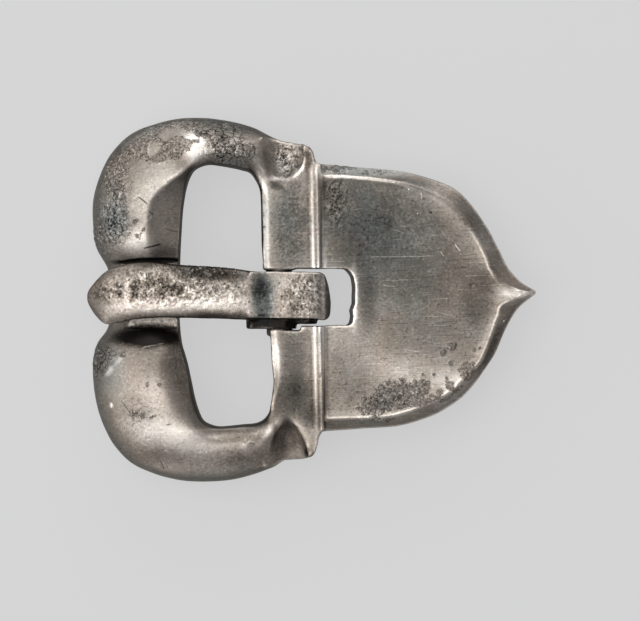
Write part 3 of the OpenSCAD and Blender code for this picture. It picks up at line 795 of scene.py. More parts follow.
# The lower lobe's crest runs into its fall without a crease.
SOFT_CREASE = [(-12.4, -5.8, 1.4, 3.4, 5, 1), (-11.2, -9.6, 1.3, 2.0, -35, 1)]
TONGUE_JOINTS = [(-5.2, 0.3, 0.9, 2.6, 0, 1), (1.0, 0.2, 0.9, 2.4, 0, 1)]
recast(casting, FRAME_VOXEL)
recast(tongue, TONGUE_VOXEL)
ease(casting, 3)
ease(casting, 40, FRAME_JOINTS)
ease(casting, 90, SCOOP_RIMS)
ease(casting, 14, WORN_CREST)
ease(casting, 70, FADED_CREST)
ease(casting, 160, SOFT_CREASE)
ease(tongue, 4)
ease(tongue, 30, TONGUE_JOINTS)
print("even skins:", len(casting.data.polygons), "and", len(tongue.data.polygons), "squares")

# %% [markdown]
# ## Where the age sits
# Old silver is not the same all over. Crust clings in hollows and patches, some places are rough and
# sparkling, thin dark veins net others, and flats keep the lines of a brush. These places were read off
# the buckle and are written as soft ovals in millimetres: x, y, reach along and across, turn in degrees
# and strength. A strength below 0 takes away from the ovals round it. The map is worked out at every
# corner and kept on the mesh as named values, so that the shape and the colour use the same one.

# %% Patches of crust on the frame
FRAME_CRUST = [
    # Upper lobe.
    (-11.0, 12.3, 1.25, 0.85, 15, 1.5), (-12.3, 11.4, 0.95, 0.4, 18, 1.3), (-14.0, 12.0, 0.85, 0.7, -30, 1.3),
    (-13.1, 13.0, 1.1, 0.6, 25, 1.1), (-12.7, 12.1, 0.42, 0.5, 0, -1.6), (-11.5, 13.15, 0.5, 0.28, 20, -1.2),
    (-11.0, 14.0, 2.4, 0.35, 6, 1.0), (-11.0, 13.9, 0.4, 0.16, 0, -0.9), (-8.9, 13.3, 0.9, 0.3, -20, 1.1),
    (-7.2, 12.9, 0.6, 0.4, 15, 1.0), (-6.9, 13.9, 0.9, 0.35, -8, 0.9), (-9.4, 12.7, 0.35, 0.3, 0, 0.6),
    (-6.8, 11.9, 1.9, 1.0, -8, 0.62), (-15.6, 10.4, 0.8, 1.0, -20, 1.05), (-15.0, 11.4, 0.6, 0.6, 0, 1.0),
    (-15.7, 8.9, 0.7, 0.7, 0, 0.75), (-16.3, 9.6, 0.4, 1.2, -10, 0.6), (-4.9, 12.0, 0.7, 0.9, 0, 0.5),
    (-17.1, 5.2, 0.7, 1.0, 0, 0.5), (-14.1, 6.3, 0.3, 0.2, 20, 1.2), (-13.5, 5.65, 0.13, 0.13, 0, 1.2),
    (-15.0, 7.4, 0.17, 0.4, 8, 1.1), (-14.7, 5.1, 0.3, 0.3, 0, 0.8), (-13.9, 5.2, 0.5, 0.4, 0, 0.4),
    # Lower lobe.
    (-17.3, -5.0, 0.6, 1.3, 0, 0.6), (-16.1, -4.2, 0.6, 0.6, 0, 0.6), (-15.15, -4.45, 0.3, 0.2, 50, 0.9),
    (-13.2, -6.8, 0.12, 0.2, 0, 1.3), (-12.3, -6.8, 0.2, 0.1, -15, 1.3), (-4.9, -11.6, 0.28, 0.18, 0, 1.3),
    (-14.2, -9.3, 0.7, 0.7, 0, 0.5), (-13.6, -9.2, 0.3, 0.25, 0, 1.1), (-12.9, -9.4, 0.15, 0.12, 0, 1.1),
    (-12.3, -9.2, 0.6, 0.5, 0, 0.35),
    # Upper terminal and the plate's upper edge.
    (-2.1, 11.4, 0.9, 1.2, 0, 0.4), (-1.8, 13.4, 1.0, 0.4, 0, 0.45), (-0.75, 12.0, 0.2, 0.7, 0, 0.8),
    (2.0, 10.5, 1.6, 0.4, 0, 0.75), (5.0, 10.2, 1.6, 0.3, -4, 0.6),
    # The sheet of crust along the plate's lower edge.
    (6.6, -7.6, 1.3, 1.1, 0, 1.5), (5.0, -8.6, 1.3, 0.9, 10, 1.1), (7.7, -8.2, 1.2, 0.5, 15, 1.2),
    (9.0, -8.3, 1.4, 0.22, 20, 1.0), (7.7, -8.75, 0.5, 0.2, 15, -0.9), (10.9, -7.9, 0.9, 0.2, 35, 0.8),
    (5.6, -9.7, 1.0, 0.25, 0, 0.8), (8.7, -7.05, 0.7, 0.66, 0, 1.6),
    # Round blisters that run on from it.
    (7.3, -6.5, 0.2, 0.2, 0, 1.2), (8.9, -6.0, 0.1, 0.1, 0, 1.2), (9.65, -7.85, 0.26, 0.24, 0, 1.3),
    (9.77, -6.0, 0.14, 0.14, 0, 1.2), (10.2, -7.4, 0.32, 0.28, 0, 1.3), (10.8, -6.4, 0.14, 0.26, 0, 1.1),
    (11.1, -6.9, 0.34, 0.32, 0, 1.3), (11.7, -7.2, 0.5, 0.24, 30, 1.1), (12.4, -5.8, 0.64, 0.62, 0, 1.6),
    (13.0, -5.1, 0.15, 0.13, 0, 1.2), (11.1, -5.1, 0.16, 0.16, 0, 1.2), (10.55, -4.3, 0.24, 0.24, 0, 1.2),
    (11.26, -3.77, 0.36, 0.34, 0, 1.3), (13.05, -4.05, 0.17, 0.17, 0, 1.2), (13.5, -3.9, 0.12, 0.12, 0, 1.2),
]
print("patches of crust:", len(FRAME_CRUST))

# %% Rough, veined and brushed places on the frame
FRAME_ROUGH = [
    (-15.7, 6.2, 1.2, 1.9, 0, 1), (-16.8, 4.6, 0.8, 1.2, 0, 0.6), (-17.3, -5.0, 0.8, 1.6, 0, 0.6),
    (-2.1, 11.3, 1.1, 1.3, 0, 0.7), (2.0, 10.5, 1.8, 0.4, 0, 0.6), (-15.6, 9.0, 0.7, 1.0, 0, 0.6),
    (5.5, -8.5, 2.6, 1.1, 10, 0.5), (-6.8, 12.0, 1.9, 1.0, -8, 0.5), (-13.5, 12.9, 3.4, 0.8, 30, 0.6),
    (-8.0, 14.0, 4.0, 0.6, -5, 0.6), (-16.6, 9.0, 0.8, 3.0, -12, 0.5), (-1.7, 5.5, 1.6, 4.4, 0, 0.4),
    (1.9, 8.0, 1.0, 2.2, 0, 0.6), (5.4, 6.0, 4.4, 3.6, 0, 0.28), (-13.0, -2.0, 2.6, 0.5, 0, 0.9),
    (-1.9, 11.8, 1.2, 1.8, 0, 0.5), (-8.0, -12.9, 5.0, 1.2, 4, 0.45), (-13.4, -10.8, 2.0, 1.4, -40, 0.35),
    (-10.6, -4.8, 1.0, 2.6, 12, 0.4), (-10.9, 5.6, 0.9, 2.4, 8, 0.25), (-5.0, -11.0, 1.6, 0.8, 0, 0.4),
]
FRAME_VEINS = [
    (-6.8, 11.8, 2.0, 1.2, -8, 1), (-7.2, 13.4, 1.8, 0.7, -8, 0.9), (-9.2, 13.5, 1.2, 0.5, -15, 0.7),
    (-14.1, -8.9, 1.2, 1.3, 0, 0.36), (-15.7, 6.2, 1.1, 1.7, 0, 0.7), (-16.9, -4.9, 0.8, 1.2, 0, 0.6),
    (-2.0, 11.6, 1.0, 1.2, 0, 0.6), (1.9, 8.2, 0.9, 1.8, 0, 0.5), (6.3, -8.0, 2.0, 1.0, 8, 0.5),
    (-15.3, 9.0, 0.9, 1.4, 0, 0.5),
]
FRAME_BRUSHED = [
    (8.0, 0.0, 10.5, 11.0, 0, 0.7), (4.5, 6.2, 3.6, 3.6, 0, -0.4), (-11.3, 6.0, 1.2, 3.2, 8, 0.7),
    (-11.0, -5.0, 1.3, 2.8, 12, 0.7), (-13.5, -3.6, 3.0, 1.0, 0, 0.6), (-1.7, 5.0, 1.5, 5.0, 0, 0.1),
    (-13.0, 9.5, 2.0, 1.6, 0, 0.2), (-13.0, -2.0, 2.6, 0.6, 0, 1),
]
print("rough:", len(FRAME_ROUGH), "veined:", len(FRAME_VEINS), "brushed:", len(FRAME_BRUSHED))

# %% [markdown]
# ## Pale and dark, warm and cool
# Crests are rubbed pale, flats have gone dark, and tarnish is brown in one place and grey in another. The
# same kind of ovals says so, and some tone ovals paint shade, shadow or highlight where light falls, as
# noted at each. In a tone a strength above 0 is paler, and in a warmth it is browner.

# %% Tones of the frame
FRAME_TONE = [
    # Upper lobe.
    (-12.6, 9.4, 2.4, 2.4, 35, 0.08), (-9.4, 12.2, 1.0, 1.3, 20, 0.54), (-11.0, 12.8, 2.8, 1.2, 20, 0.1),
    # First oval: a painted highlight on the upper lobe near the notch.
    (-13.9, 4.6, 1.2, 1.1, 0, 0.36), (-15.4, 6.2, 1.1, 1.5, 0, -0.2), (-11.3, 6.0, 1.3, 3.2, 8, 0.13),
    (-9.4, 9.8, 0.8, 1.8, -25, -0.1), (-6.5, 11.7, 2.4, 1.1, -8, 0.16), (-5.0, 13.2, 1.5, 0.6, -12, 0.05),
    # Second oval: painted light that lifts the upper lobe's shaded outer wall. Third oval: a painted shadow
    # on the seat's strip above the tongue.
    (-17.1, 8.8, 0.8, 4.0, -8, -0.03), (-12.6, 13.9, 4.4, 0.9, 12, 0.18), (-12.9, 3.12, 3.0, 0.2, 2, -1.1),
    (-11.6, 3.9, 1.4, 0.5, 0, -0.12),
    # Lower lobe.
    # Second oval: the tongue's painted shadow on the lower lobe's slope beside the seat.
    (-12.3, -1.95, 2.6, 0.3, 0, 0.12), (-13.1, -3.0, 2.8, 0.75, 0, -0.85), (-17.1, -4.1, 0.8, 1.8, 0, -0.16),
    (-16.3, -5.75, 0.24, 0.55, -38, 0.3), (-15.5, -4.85, 0.16, 0.5, -38, 0.22),
    (-16.1, -8.5, 0.12, 0.12, 0, 0.9),
    # First oval: painted shade that tones down a highlight on the lower lobe.
    (-13.3, -5.1, 1.2, 1.5, 0, -0.14), (-11.0, -5.0, 1.3, 2.6, 12, -0.02), (-9.5, -8.3, 0.9, 1.6, 18, 0.02),
    # Second oval: a painted highlight along the lower lobe's crest.
    (-11.9, -8.3, 2.5, 2.0, -45, 0.09), (-11.2, -11.1, 3.2, 1.2, -15, 0.36), (-7.8, -11.3, 2.4, 0.8, 0, 0.14),
    # Third oval: painted light that lifts the lower lobe's shaded outer wall.
    (-7.5, -11.9, 3.0, 0.8, 5, 0.06), (-10.5, -13.1, 3.8, 0.7, 8, 0.08), (-10.7, -13.8, 4.8, 0.8, 0, 0.14),
    # Second oval: painted shade that tones down a highlight below the opening. Third oval: a painted
    # highlight along the opening's rim.
    (-5.0, -13.8, 2.1, 0.6, 0, -0.02), (-6.2, -11.2, 2.4, 0.3, 3, -0.24), (-7.0, -10.4, 2.2, 0.1, 2, 0.3),
    (-4.9, -11.7, 1.1, 0.6, 10, 0.14),
    # Bar and double ridge.
    # Second oval: a painted highlight on the bar's bevel. Third oval: painted shade on the opening's wall
    # beside it.
    (-1.8, 6.0, 1.5, 4.2, 0, -0.27), (-3.74, 5.6, 0.24, 3.8, 1, 0.2), (-4.03, 5.9, 0.1, 3.0, 1, -1.2),
    # First oval: a painted highlight on the opening's rim at the upper terminal. Second oval: painted shade
    # on the opening's wall below it.
    (-4.1, 9.4, 0.3, 0.9, 25, 0.3), (-4.5, 9.6, 0.13, 1.1, 28, -0.5), (-1.6, -4.6, 1.5, 3.4, 0, -0.23),
    # First oval: a painted highlight on the lower bar's bevel.
    (-2.9, -4.4, 0.35, 1.5, 5, 0.4), (-1.6, -8.1, 2.8, 1.8, 0, -0.28), (-1.0, -7.3, 0.6, 2.0, 0, -0.06),
    # The first two ovals are painted highlights on the beads. The third is painted light that lifts the shade
    # in the groove between the beads and the plate.
    (0.2, 0, 0.3, 11.5, 1.1, 0.26), (0.62, 0, 0.14, 11.5, 1.1, 0.16), (0.95, 0, 0.2, 11.5, 1.1, 0.62),
    (0.3, -9.6, 0.8, 2.4, 0, -0.06), (0.3, -9.5, 1.0, 1.0, 0, -0.2),
    # Terminals and scoops.
    # Second and third ovals: painted highlights on the upper scoop's rim.
    (-2.3, 11.4, 0.8, 1.1, 0, 0.2), (-1.35, 10.15, 0.8, 0.18, 37, 0.4), (-2.7, 9.75, 0.7, 0.18, 0, 0.3),
    # First oval: the painted shadow below the upper scoop's rim.
    (-3.0, 9.2, 0.6, 0.3, -20, -0.3), (-0.75, 11.4, 0.15, 0.9, 0, 0.25), (-0.3, 11.3, 0.4, 1.8, 0, -0.35),
    (-1.9, -11.7, 1.0, 1.5, 0, -0.3), (-1.9, -11.1, 0.4, 0.5, 0, 0.12), (-3.4, -10.5, 1.1, 0.25, 53, 0.34),
    (-3.6, -9.3, 0.8, 0.8, 0, -0.14), (-0.5, -11.7, 0.4, 1.6, 0, -0.06), (-0.2, -12.3, 0.4, 0.5, 0, -0.34),
    # The plate's panel.
    (3.35, 0.2, 0.3, 2.4, 0, 0.48), (4.5, -0.3, 0.8, 2.5, 0, -0.19), (3.0, 6.4, 3.4, 4.2, 0, -0.22),
    (7.4, 6.0, 3.1, 3.4, -20, -0.24), (4.0, 8.6, 3.6, 0.8, -4, -0.06), (3.1, 4.0, 2.4, 4.8, 0, -0.1),
    (7.6, 2.0, 4.4, 2.1, 0, -0.13), (11.5, 4.8, 1.9, 3.2, 35, -0.1), (11.8, 3.4, 2.0, 3.4, 0, -0.05),
    (9.5, -1.7, 4.8, 4.8, 0, -0.2), (13.6, 0.0, 1.5, 2.4, 0, -0.16), (3.1, -6.5, 2.4, 2.4, 0, -0.16),
    (7.6, -5.5, 3.4, 1.4, 0, 0.15), (10.9, -6.2, 1.3, 0.9, 20, 0.12), (7.9, -7.2, 2.6, 0.5, 15, 0.1),
    # Its crest, bevel and tip.
    (4.5, 10.3, 4.5, 0.5, 0, 0.42), (10.9, 8.3, 2.2, 0.9, -38, 0.1), (13.4, 6.4, 1.2, 3.0, 40, -0.12),
    (14.0, 4.7, 0.7, 1.1, 25, 0.15), (14.2, 1.5, 0.8, 1.2, 20, -0.14), (14.6, 0.6, 0.8, 0.6, 0, 0.04),
    (16.2, 0.55, 1.3, 0.35, -12, 0.45), (15.3, 0.15, 0.9, 0.5, 0, 0.15), (15.6, -1.0, 0.5, 1.5, -30, 0.12),
    (14.1, -3.3, 0.5, 2.2, -25, 0.08), (14.9, -3.7, 0.8, 3.2, -25, -0.27), (12.0, -6.3, 0.6, 1.8, -50, 0.06),
    (11.5, -7.7, 2.4, 1.1, 35, 0.12), (10.3, -8.7, 3.2, 0.8, 25, -0.05), (4.5, -9.2, 3.5, 0.3, 0, 0.15),
    (3.9, -10.0, 4.0, 0.4, 0, -0.05),
]
FRAME_WARM = [
    (5.0, 5.2, 4.5, 4.7, 0, -0.5), (9.5, -1.0, 3.0, 4.0, 0, -0.1), (-1.8, 6.5, 1.4, 4.5, 0, -0.4),
    (-15.9, 6.5, 1.2, 1.8, 0, -0.7), (-15.9, -5.5, 1.0, 1.8, 0, -0.6), (-1.8, -5.0, 1.4, 3.0, 0, -0.2),
    (-1.9, -11.6, 1.2, 1.6, 0, 0.5), (-11.2, 6.0, 1.2, 3.0, 0, 0.4), (-11.0, -6.0, 1.5, 3.5, 0, 0.4),
    (-9.5, -12.2, 5.5, 1.6, 8, 0.5), (4.5, 10.4, 4.5, 0.5, 0, -0.6), (-3.66, 5.3, 0.3, 4.0, 0, -0.5),
]
print("tones:", len(FRAME_TONE), "warmths:", len(FRAME_WARM))

# %% The same for the tongue
TONGUE_CRUST = [(-12.0, 1.6, 3.5, 1.0, 0, 0.35), (-8.5, 2.3, 3.0, 0.5, -3, 0.5),
                (-7.5, 1.0, 2.0, 0.8, 0, 0.3)]
TONGUE_ROUGH = [(-12.9, 0.8, 3.6, 1.7, 0, 0.95), (-8.3, 0.3, 4.2, 1.5, 0, 0.6), (-0.6, 0.3, 1.9, 1.9, 0, 0.9),
                (-16.2, 0.6, 1.0, 0.6, 0, 0.5), (-10.5, -0.7, 5.5, 0.6, 0, -0.35)]
TONGUE_TONE = [
    # Its point and the leaf.
    (-17.0, 0.2, 1.1, 1.6, 0, -0.2), (-17.0, 0.6, 0.5, 0.6, 0, -0.1), (-15.5, 0.8, 0.3, 0.7, 12, -0.34),
    (-14.2, 0.85, 0.3, 0.75, -5, -0.32), (-14.9, 0.4, 0.22, 0.9, 0, 0.2), (-14.8, 2.4, 2.4, 0.5, 12, -0.12),
    (-12.9, 1.5, 0.6, 0.4, 20, -0.16), (-12.6, 0.9, 2.2, 1.0, 0, -0.12), (-12.5, -0.2, 4.0, 0.9, 0, 0.06),
    (-12.3, 0.4, 0.4, 0.35, 0, -0.16), (-11.6, 2.8, 3.0, 0.25, 0, -0.3), (-11.1, 0.9, 1.1, 0.5, 0, -0.2),
    # First oval: a painted highlight along the leaf's lower half.
    (-11.0, -0.6, 5.0, 0.6, 0, 0.2), (-8.1, -1.1, 1.6, 0.35, 0, -0.2), (-8.0, 2.1, 2.6, 0.6, -4, -0.45),
    # First oval: painted shade along the leaf's lower edge. Second oval: a painted highlight along its lower
    # half.
    (-8.0, -1.5, 6.0, 0.35, 0, -0.25), (-7.0, -0.2, 3.0, 0.7, 0, 0.2),
    # The dark band before the block, the block and the hook's flank.
    (-4.3, 1.0, 0.7, 1.2, 0, -0.12), (-4.0, 0.2, 0.85, 2.4, 0, -0.42), (-3.9, -2.05, 1.0, 0.4, 0, 0.45),
    # First oval: painted shade on the hook's flank down in the gap.
    (-2.6, -2.05, 4.2, 0.42, 0, -0.9), (-1.4, -0.8, 0.5, 0.9, 0, -0.16), (-0.6, 0.2, 1.2, 1.5, 0, -0.05),
    # Painted light that lifts the block's shaded end face.
    (1.1, 0.2, 0.4, 2.2, 0, 0.28),
]
TONGUE_WARM = [(-3.9, 0.2, 0.9, 2.4, 0, -1.0), (-12.0, 0.3, 5.0, 2.0, 0, 0.25)]
print("tones of the tongue:", len(TONGUE_TONE))

# %% Scratches and nicks on the frame
# Columns: from x, y to x, y; half width; strength, dark below 0.
FRAME_MARKS = [
    # Upper lobe.
    (-13.9, 8.2, -13.2, 7.67, 0.06, -0.4), (-13.4, 4.12, -12.2, 4.42, 0.08, -0.5),
    (-11.6, 5.65, -10.8, 5.45, 0.05, -0.25), (-11.9, 2.95, -10.7, 2.9, 0.05, -0.25),
    (-13.0, 7.1, -12.75, 6.8, 0.05, -0.3),
    # Lower lobe.
    (-15.3, -8.1, -14.5, -9.2, 0.05, -0.2), (-12.2, -12.95, -11.9, -13.6, 0.06, -0.3),
    (-10.9, -11.7, -10.2, -11.4, 0.05, -0.2), (-13.5, -3.83, -11.9, -3.5, 0.07, 0.3),
    (-11.6, -10.05, -11.35, -10.0, 0.1, -0.3), (-4.85, -11.55, -4.75, -11.6, 0.12, -0.4),
    # Plate.
    (4.76, 3.43, 9.9, 3.5, 0.05, 0.2), (11.5, 4.5, 11.92, 3.9, 0.05, 0.4),
    (10.37, 3.86, 10.6, 3.5, 0.05, 0.3), (6.4, 5.7, 7.4, 5.35, 0.05, 0.2),
    (2.5, 9.45, 2.85, 9.0, 0.06, 0.2), (8.8, 8.6, 8.85, 8.1, 0.05, 0.3),
    (8.49, 6.92, 8.5, 6.92, 0.1, 0.6), (2.88, 3.15, 2.9, 3.15, 0.09, 0.6),
    (7.79, 8.88, 7.8, 8.88, 0.09, 0.5), (7.47, -4.0, 8.7, -4.2, 0.06, 0.12),
    (6.5, -5.5, 7.3, -5.4, 0.06, 0.12), (15.45, -1.7, 15.46, -1.7, 0.09, 0.6),
    (9.5, 7.0, 9.6, 7.0, 0.14, -0.3), (5.6, 1.2, 6.9, 1.0, 0.05, 0.15),
    (10.2, -1.0, 11.4, -1.3, 0.05, 0.15), (3.3, 7.2, 4.2, 7.4, 0.05, 0.15),
]
# A mark's strength fades out this far from its line, over this much.
MARK_REACH, MARK_FADE = 0.3, 0.1


def nearest_mark(co, marks):
    """How far each corner is across and past its nearest mark, in half widths, and the mark's strength."""
    near = np.full(len(co), np.inf)
    across, past, strength = np.zeros((3, len(co)))
    for x0, y0, x1, y1, width, power in marks:
        line = np.array((x1 - x0, y1 - y0))
        long = np.hypot(*line)
        way = line / long
        off = co[:, :2] - (x0, y0)
        along, side = off @ way, off @ (-way[1], way[0])
        beyond = np.maximum(np.maximum(-along, along - long), 0)
        mine = np.hypot(side, beyond) < near
        near[mine] = np.hypot(side, beyond)[mine]
        across[mine], past[mine], strength[mine] = side[mine] / width, beyond[mine] / width, power
    return across, past, strength * np.clip((MARK_REACH - near) / MARK_FADE, 0, 1)


print("marks:", len(FRAME_MARKS))

# %% [markdown]
# ## The map goes onto the meshes
# Besides the ovals the map holds what the shape itself says: how sharply the surface bends, out at an
# edge or in at a hollow, and where walls stand steep in an opening, which get painted shade because they
# look dark from above. It also says where the worn skin has to stay calm, so that the hinge, the seat and
# the underside keep their measures.

# %% Work the map out and keep it
def normals(piece):
    """The piece's corner normals as rows of x, y, z."""
    out = np.empty(len(piece.data.vertices) * 3, np.float32)
    piece.data.vertices.foreach_get("normal", out)
    return out.reshape(-1, 3)


# The tones were read from above, so they fade below the plate's level.
FADE_FROM, FADE_OVER, FADE_LEAST = 4.0, 0.8, 0.2
# The loop's two openings, and the slot with the hook gap, where steep walls get painted shade.
WALL_SHADE = [(-7.2, 6.6, 4.6, 5.2, 0, 1), (-6.6, -6.0, 4.9, 5.3, 0, 1), (1.0, 0.2, 3.6, 2.9, 0, 0.3)]
# A wall counts where its normal's z is below STEEP_BELOW, and in full STEEP_OVER further down. Its
# painted shade is paler low down and reaches its full depth at WALL_SHADE_OVER above WALL_SHADE_FROM_Z.
WALL_SHADE_DEPTH, STEEP_BELOW, STEEP_OVER = 0.62, 0.55, 0.3
WALL_SHADE_FROM_Z, WALL_SHADE_OVER, WALL_SHADE_LEAST = 2.7, 1.2, 0.2
# Rounds of evening out that give the surface without its bends, and the bend in mm that counts as 1.
EVEN_ROUNDS, FULL_BEND = 12, 0.06
BRUSHED_EVERYWHERE = 0.15


def map_age(piece, crust, rough, tone, warm, calm, veins=(), brushed=(), marks=()):
    """Keeps the places of each kind of age, the painted shade on steep walls, and how sharply the surface
    bends out or in.
    """
    co, mean, out = corners(piece), neighbour_mean(piece), normals(piece)
    even = co
    for _ in range(EVEN_ROUNDS):
        even = mean(even)
    bend = np.einsum("ij,ij->i", co - even, out) / FULL_BEND
    # Steep walls in the openings get painted shade, which is taken off the tone.
    walls = np.clip(spread(co, WALL_SHADE) * 2, 0, 1) * np.clip((STEEP_BELOW - out[:, 2]) / STEEP_OVER, 0, 1)
    painted_shade = walls * np.clip((co[:, 2] - WALL_SHADE_FROM_Z) / WALL_SHADE_OVER, WALL_SHADE_LEAST, 1)
    faded = np.clip((co[:, 2] - FADE_FROM) / FADE_OVER, FADE_LEAST, 1)
    across, past, strength = nearest_mark(co, marks)
    age_map = {
        "crust_zone": spread(co, crust),
        "rough_zone": np.clip(spread(co, rough), 0, 1),
        "vein_zone": np.clip(spread(co, veins), 0, 1),
        "brushed": np.clip(BRUSHED_EVERYWHERE + spread(co, brushed), 0, 1),
        "tone_shift": spread(co, tone) * faded - WALL_SHADE_DEPTH * painted_shade,
        "warm_shift": spread(co, warm),
        "mark_across": across,
        "mark_past": past,
        "mark_strength": strength,
        "bend": bend,
        "calm": calm(co, out),
    }
    for name, value in age_map.items():
        keep_value(piece, name, value)
    print(piece.name, "bend", np.percentile(bend, [1, 10, 50, 90, 99]).round(2))


# Painted shade on the openings' steep walls.
print("a wall's soot darkens it by", WALL_SHADE_DEPTH)

# %% Where the skin stays calm
# On the frame: a box round the hinge bar, what lies near the ground, the lugs and the seat's floor.
CALM_HINGE_X, CALM_HINGE_Y, CALM_HINGE_Z = (-4.4, -1.1), 2.7, 5.2
CALM_GROUND, GROUND_FADE = 0.5, 0.3
CALM_LUGS_X, UNDER_BACK = 2.5, 0.05
CALM_SEAT_X, SEAT_MIDDLE_Y, SEAT_HALF, SEAT_SKIN = -9.5, 0.6, 3, 0.06
# On the tongue: near the hinge's axis, and wherever the surface looks down.
CALM_BORE, BORE_FADE, DOWN_GAIN = 1.7, 0.4, 3


def frame_calm(co, out):
    """1 where the relief has to stay away: hinge, seat, lugs, and the level that the buckle rests on."""
    x, y, z = co.T
    by_hinge = (x > CALM_HINGE_X[0]) & (x < CALM_HINGE_X[1]) & (np.abs(y) < CALM_HINGE_Y) & (z < CALM_HINGE_Z)
    on_foot = np.clip((CALM_GROUND - z) / GROUND_FADE, 0, 1)
    by_lugs = (x > CALM_LUGS_X) & (z < BACK_Z - UNDER_BACK)
    on_seat = (x < CALM_SEAT_X) & (np.abs(y - SEAT_MIDDLE_Y) < SEAT_HALF) & (np.abs(z - SEAT_Z) < SEAT_SKIN)
    return np.maximum.reduce([by_hinge * 1.0, on_foot, by_lugs * 1.0, on_seat * 1.0])


def tongue_calm(co, out):
    """1 round the bore and under the tongue."""
    x, y, z = co.T
    by_bore = np.clip((CALM_BORE - np.hypot(x - HINGE_X, z - HINGE_Z)) / BORE_FADE, 0, 1)
    return np.maximum(by_bore, np.clip(-out[:, 2] * DOWN_GAIN, 0, 1))


map_age(casting, FRAME_CRUST, FRAME_ROUGH, FRAME_TONE, FRAME_WARM, frame_calm, FRAME_VEINS, FRAME_BRUSHED,
        FRAME_MARKS)
map_age(tongue, TONGUE_CRUST, TONGUE_ROUGH, TONGUE_TONE, TONGUE_WARM, tongue_calm)

# %% [markdown]
# ## The worn skin, made with Geometry Nodes
# The same rule works everywhere on both castings: each corner moves along its normal by a slow swell, by
# the height of the crust where there is crust, by a sharp grain where the metal is rough, and down into
# scattered pits and thin veins. One tree does it with a knob for each size. The crust's edge is a soft map
# pushed past a threshold by noise, which gives the torn outline that corrosion has. The patterns of crust,
# grain and veins are helpers, because the silver's colours will ask the same ones.

# %% Patterns that shape and colour share
CRUST_EDGE = (0.50, 0.56)
GRAIN_NOISE = {"Scale": 5.0, "Detail": 3.0, "Roughness": 0.6}


def noise(tree, place, **settings):
    """Noise from 0 to 1."""
    return Wire(tree, node(tree, "ShaderNodeTexNoise", {"Vector": place, **settings}).outputs[0])


def swing(tree, place, **settings):
    """Noise from -1 to 1."""
    return noise(tree, place, **settings).math("MULTIPLY_ADD", 2.0, -1.0)


def soft_step(tree, value, start, end):
    """0 at the start and before it, 1 at the end and past it; the start may be the higher of the two."""
    step = node(tree, "ShaderNodeMapRange", {0: value, 1: start, 2: end}, interpolation_type="SMOOTHSTEP")
    return Wire(tree, step.outputs[0])


def held(value):
    """A Wire's value held between 0 and 1."""
    return value.math("MAXIMUM", 0.0).math("MINIMUM", 1.0)


def wandered(tree, place, reach, **settings):
    """A place pushed about by noise, and that noise."""
    wander = node(tree, "ShaderNodeTexNoise", {"Vector": place, **settings})
    bent = node(tree, "ShaderNodeVectorMath", {0: wander.outputs["Color"], 1: (reach,) * 3, 2: place},
                operation="MULTIPLY_ADD")
    return bent.outputs[0], Wire(tree, wander.outputs[0])


def crust_field(tree, place, zone):
    """How deep a place is in the crust: the map's ovals with torn edges and small round islands."""
    bent, wander = wandered(tree, place, 0.5, Scale=1.7, Detail=6.0, Roughness=0.66)
    cells = node(tree, "ShaderNodeTexVoronoi", {"Vector": bent, "Scale": 2.4})
    islands = Wire(tree, cells.outputs["Distance"]).math("MULTIPLY_ADD", -0.9, 0.4)
    torn = wander.math("MULTIPLY_ADD", 3.6, -1.8) + islands
    return torn.math("MULTIPLY_ADD", held(zone * 3.0), zone * 0.95)


def vein_field(tree, place):
    """How far a place is from the edge of its uneven cell; the veins in old crust run along such edges."""
    bent, _ = wandered(tree, place, 0.7, Scale=2.2, Detail=4.0, Roughness=0.6)
    cells = node(tree, "ShaderNodeTexVoronoi", {"Vector": bent, "Scale": 1.5}, feature="DISTANCE_TO_EDGE")
    return Wire(tree, cells.outputs["Distance"])


print("shared patterns: crust from", CRUST_EDGE[0], "to", CRUST_EDGE[1], "and grain", GRAIN_NOISE)

# %% The tree that ages a surface
PIT_MOUTH, PIT_RARITY, VEIN_MOUTH = (0.13, 0.03), 0.8, (0.10, 0.02)
tree, knob = geometry_tree("worn_skin", **{
    "Swell": 0.05, "Ripple": 0.015, "Crust height": 0.05, "Grain": 0.05, "Pit depth": 0.07,
    "Vein depth": 0.04, "Material": None})
spot = node(tree, "GeometryNodeInputPosition").outputs[0]
swell = swing(tree, spot, Scale=0.33, Detail=1.5) * knob["Swell"]
ripple = swing(tree, spot, Scale=1.1, Detail=2.0) * knob["Ripple"]
crust = soft_step(tree, crust_field(tree, spot, named(tree, "crust_zone")), *CRUST_EDGE)
grain = swing(tree, spot, **GRAIN_NOISE)
crust_up = crust * knob["Crust height"] * grain.math("MULTIPLY_ADD", 0.9, 0.7)
grit = named(tree, "rough_zone") * grain * knob["Grain"]
groove = node(tree, "ShaderNodeMapRange", {0: vein_field(tree, spot), 1: VEIN_MOUTH[0], 2: VEIN_MOUTH[1]})
vein = Wire(tree, groove.outputs[0]) * named(tree, "vein_zone") * knob["Vein depth"]
cells = node(tree, "ShaderNodeTexVoronoi", {"Vector": spot, "Scale": 0.85})
draw = node(tree, "ShaderNodeSeparateXYZ", {0: cells.outputs["Color"]}).outputs[0]
chosen = calc(tree, "GREATER_THAN", draw, PIT_RARITY)
pit = soft_step(tree, cells.outputs["Distance"], *PIT_MOUTH) * chosen * knob["Pit depth"]
height = ((swell + ripple) + (crust_up + grit) - pit - vein) * (1 - named(tree, "calm"))
normal = node(tree, "GeometryNodeInputNormal").outputs[0]
outward = node(tree, "ShaderNodeVectorMath", {0: normal, "Scale": height}, operation="SCALE")
moved = node(tree, "GeometryNodeSetPosition", {"Geometry": knob["Geometry"], "Offset": outward.outputs[0]})
finish_tree(tree, moved.outputs[0], knob["Material"])
grow(casting, tree, Material=cast_silver)
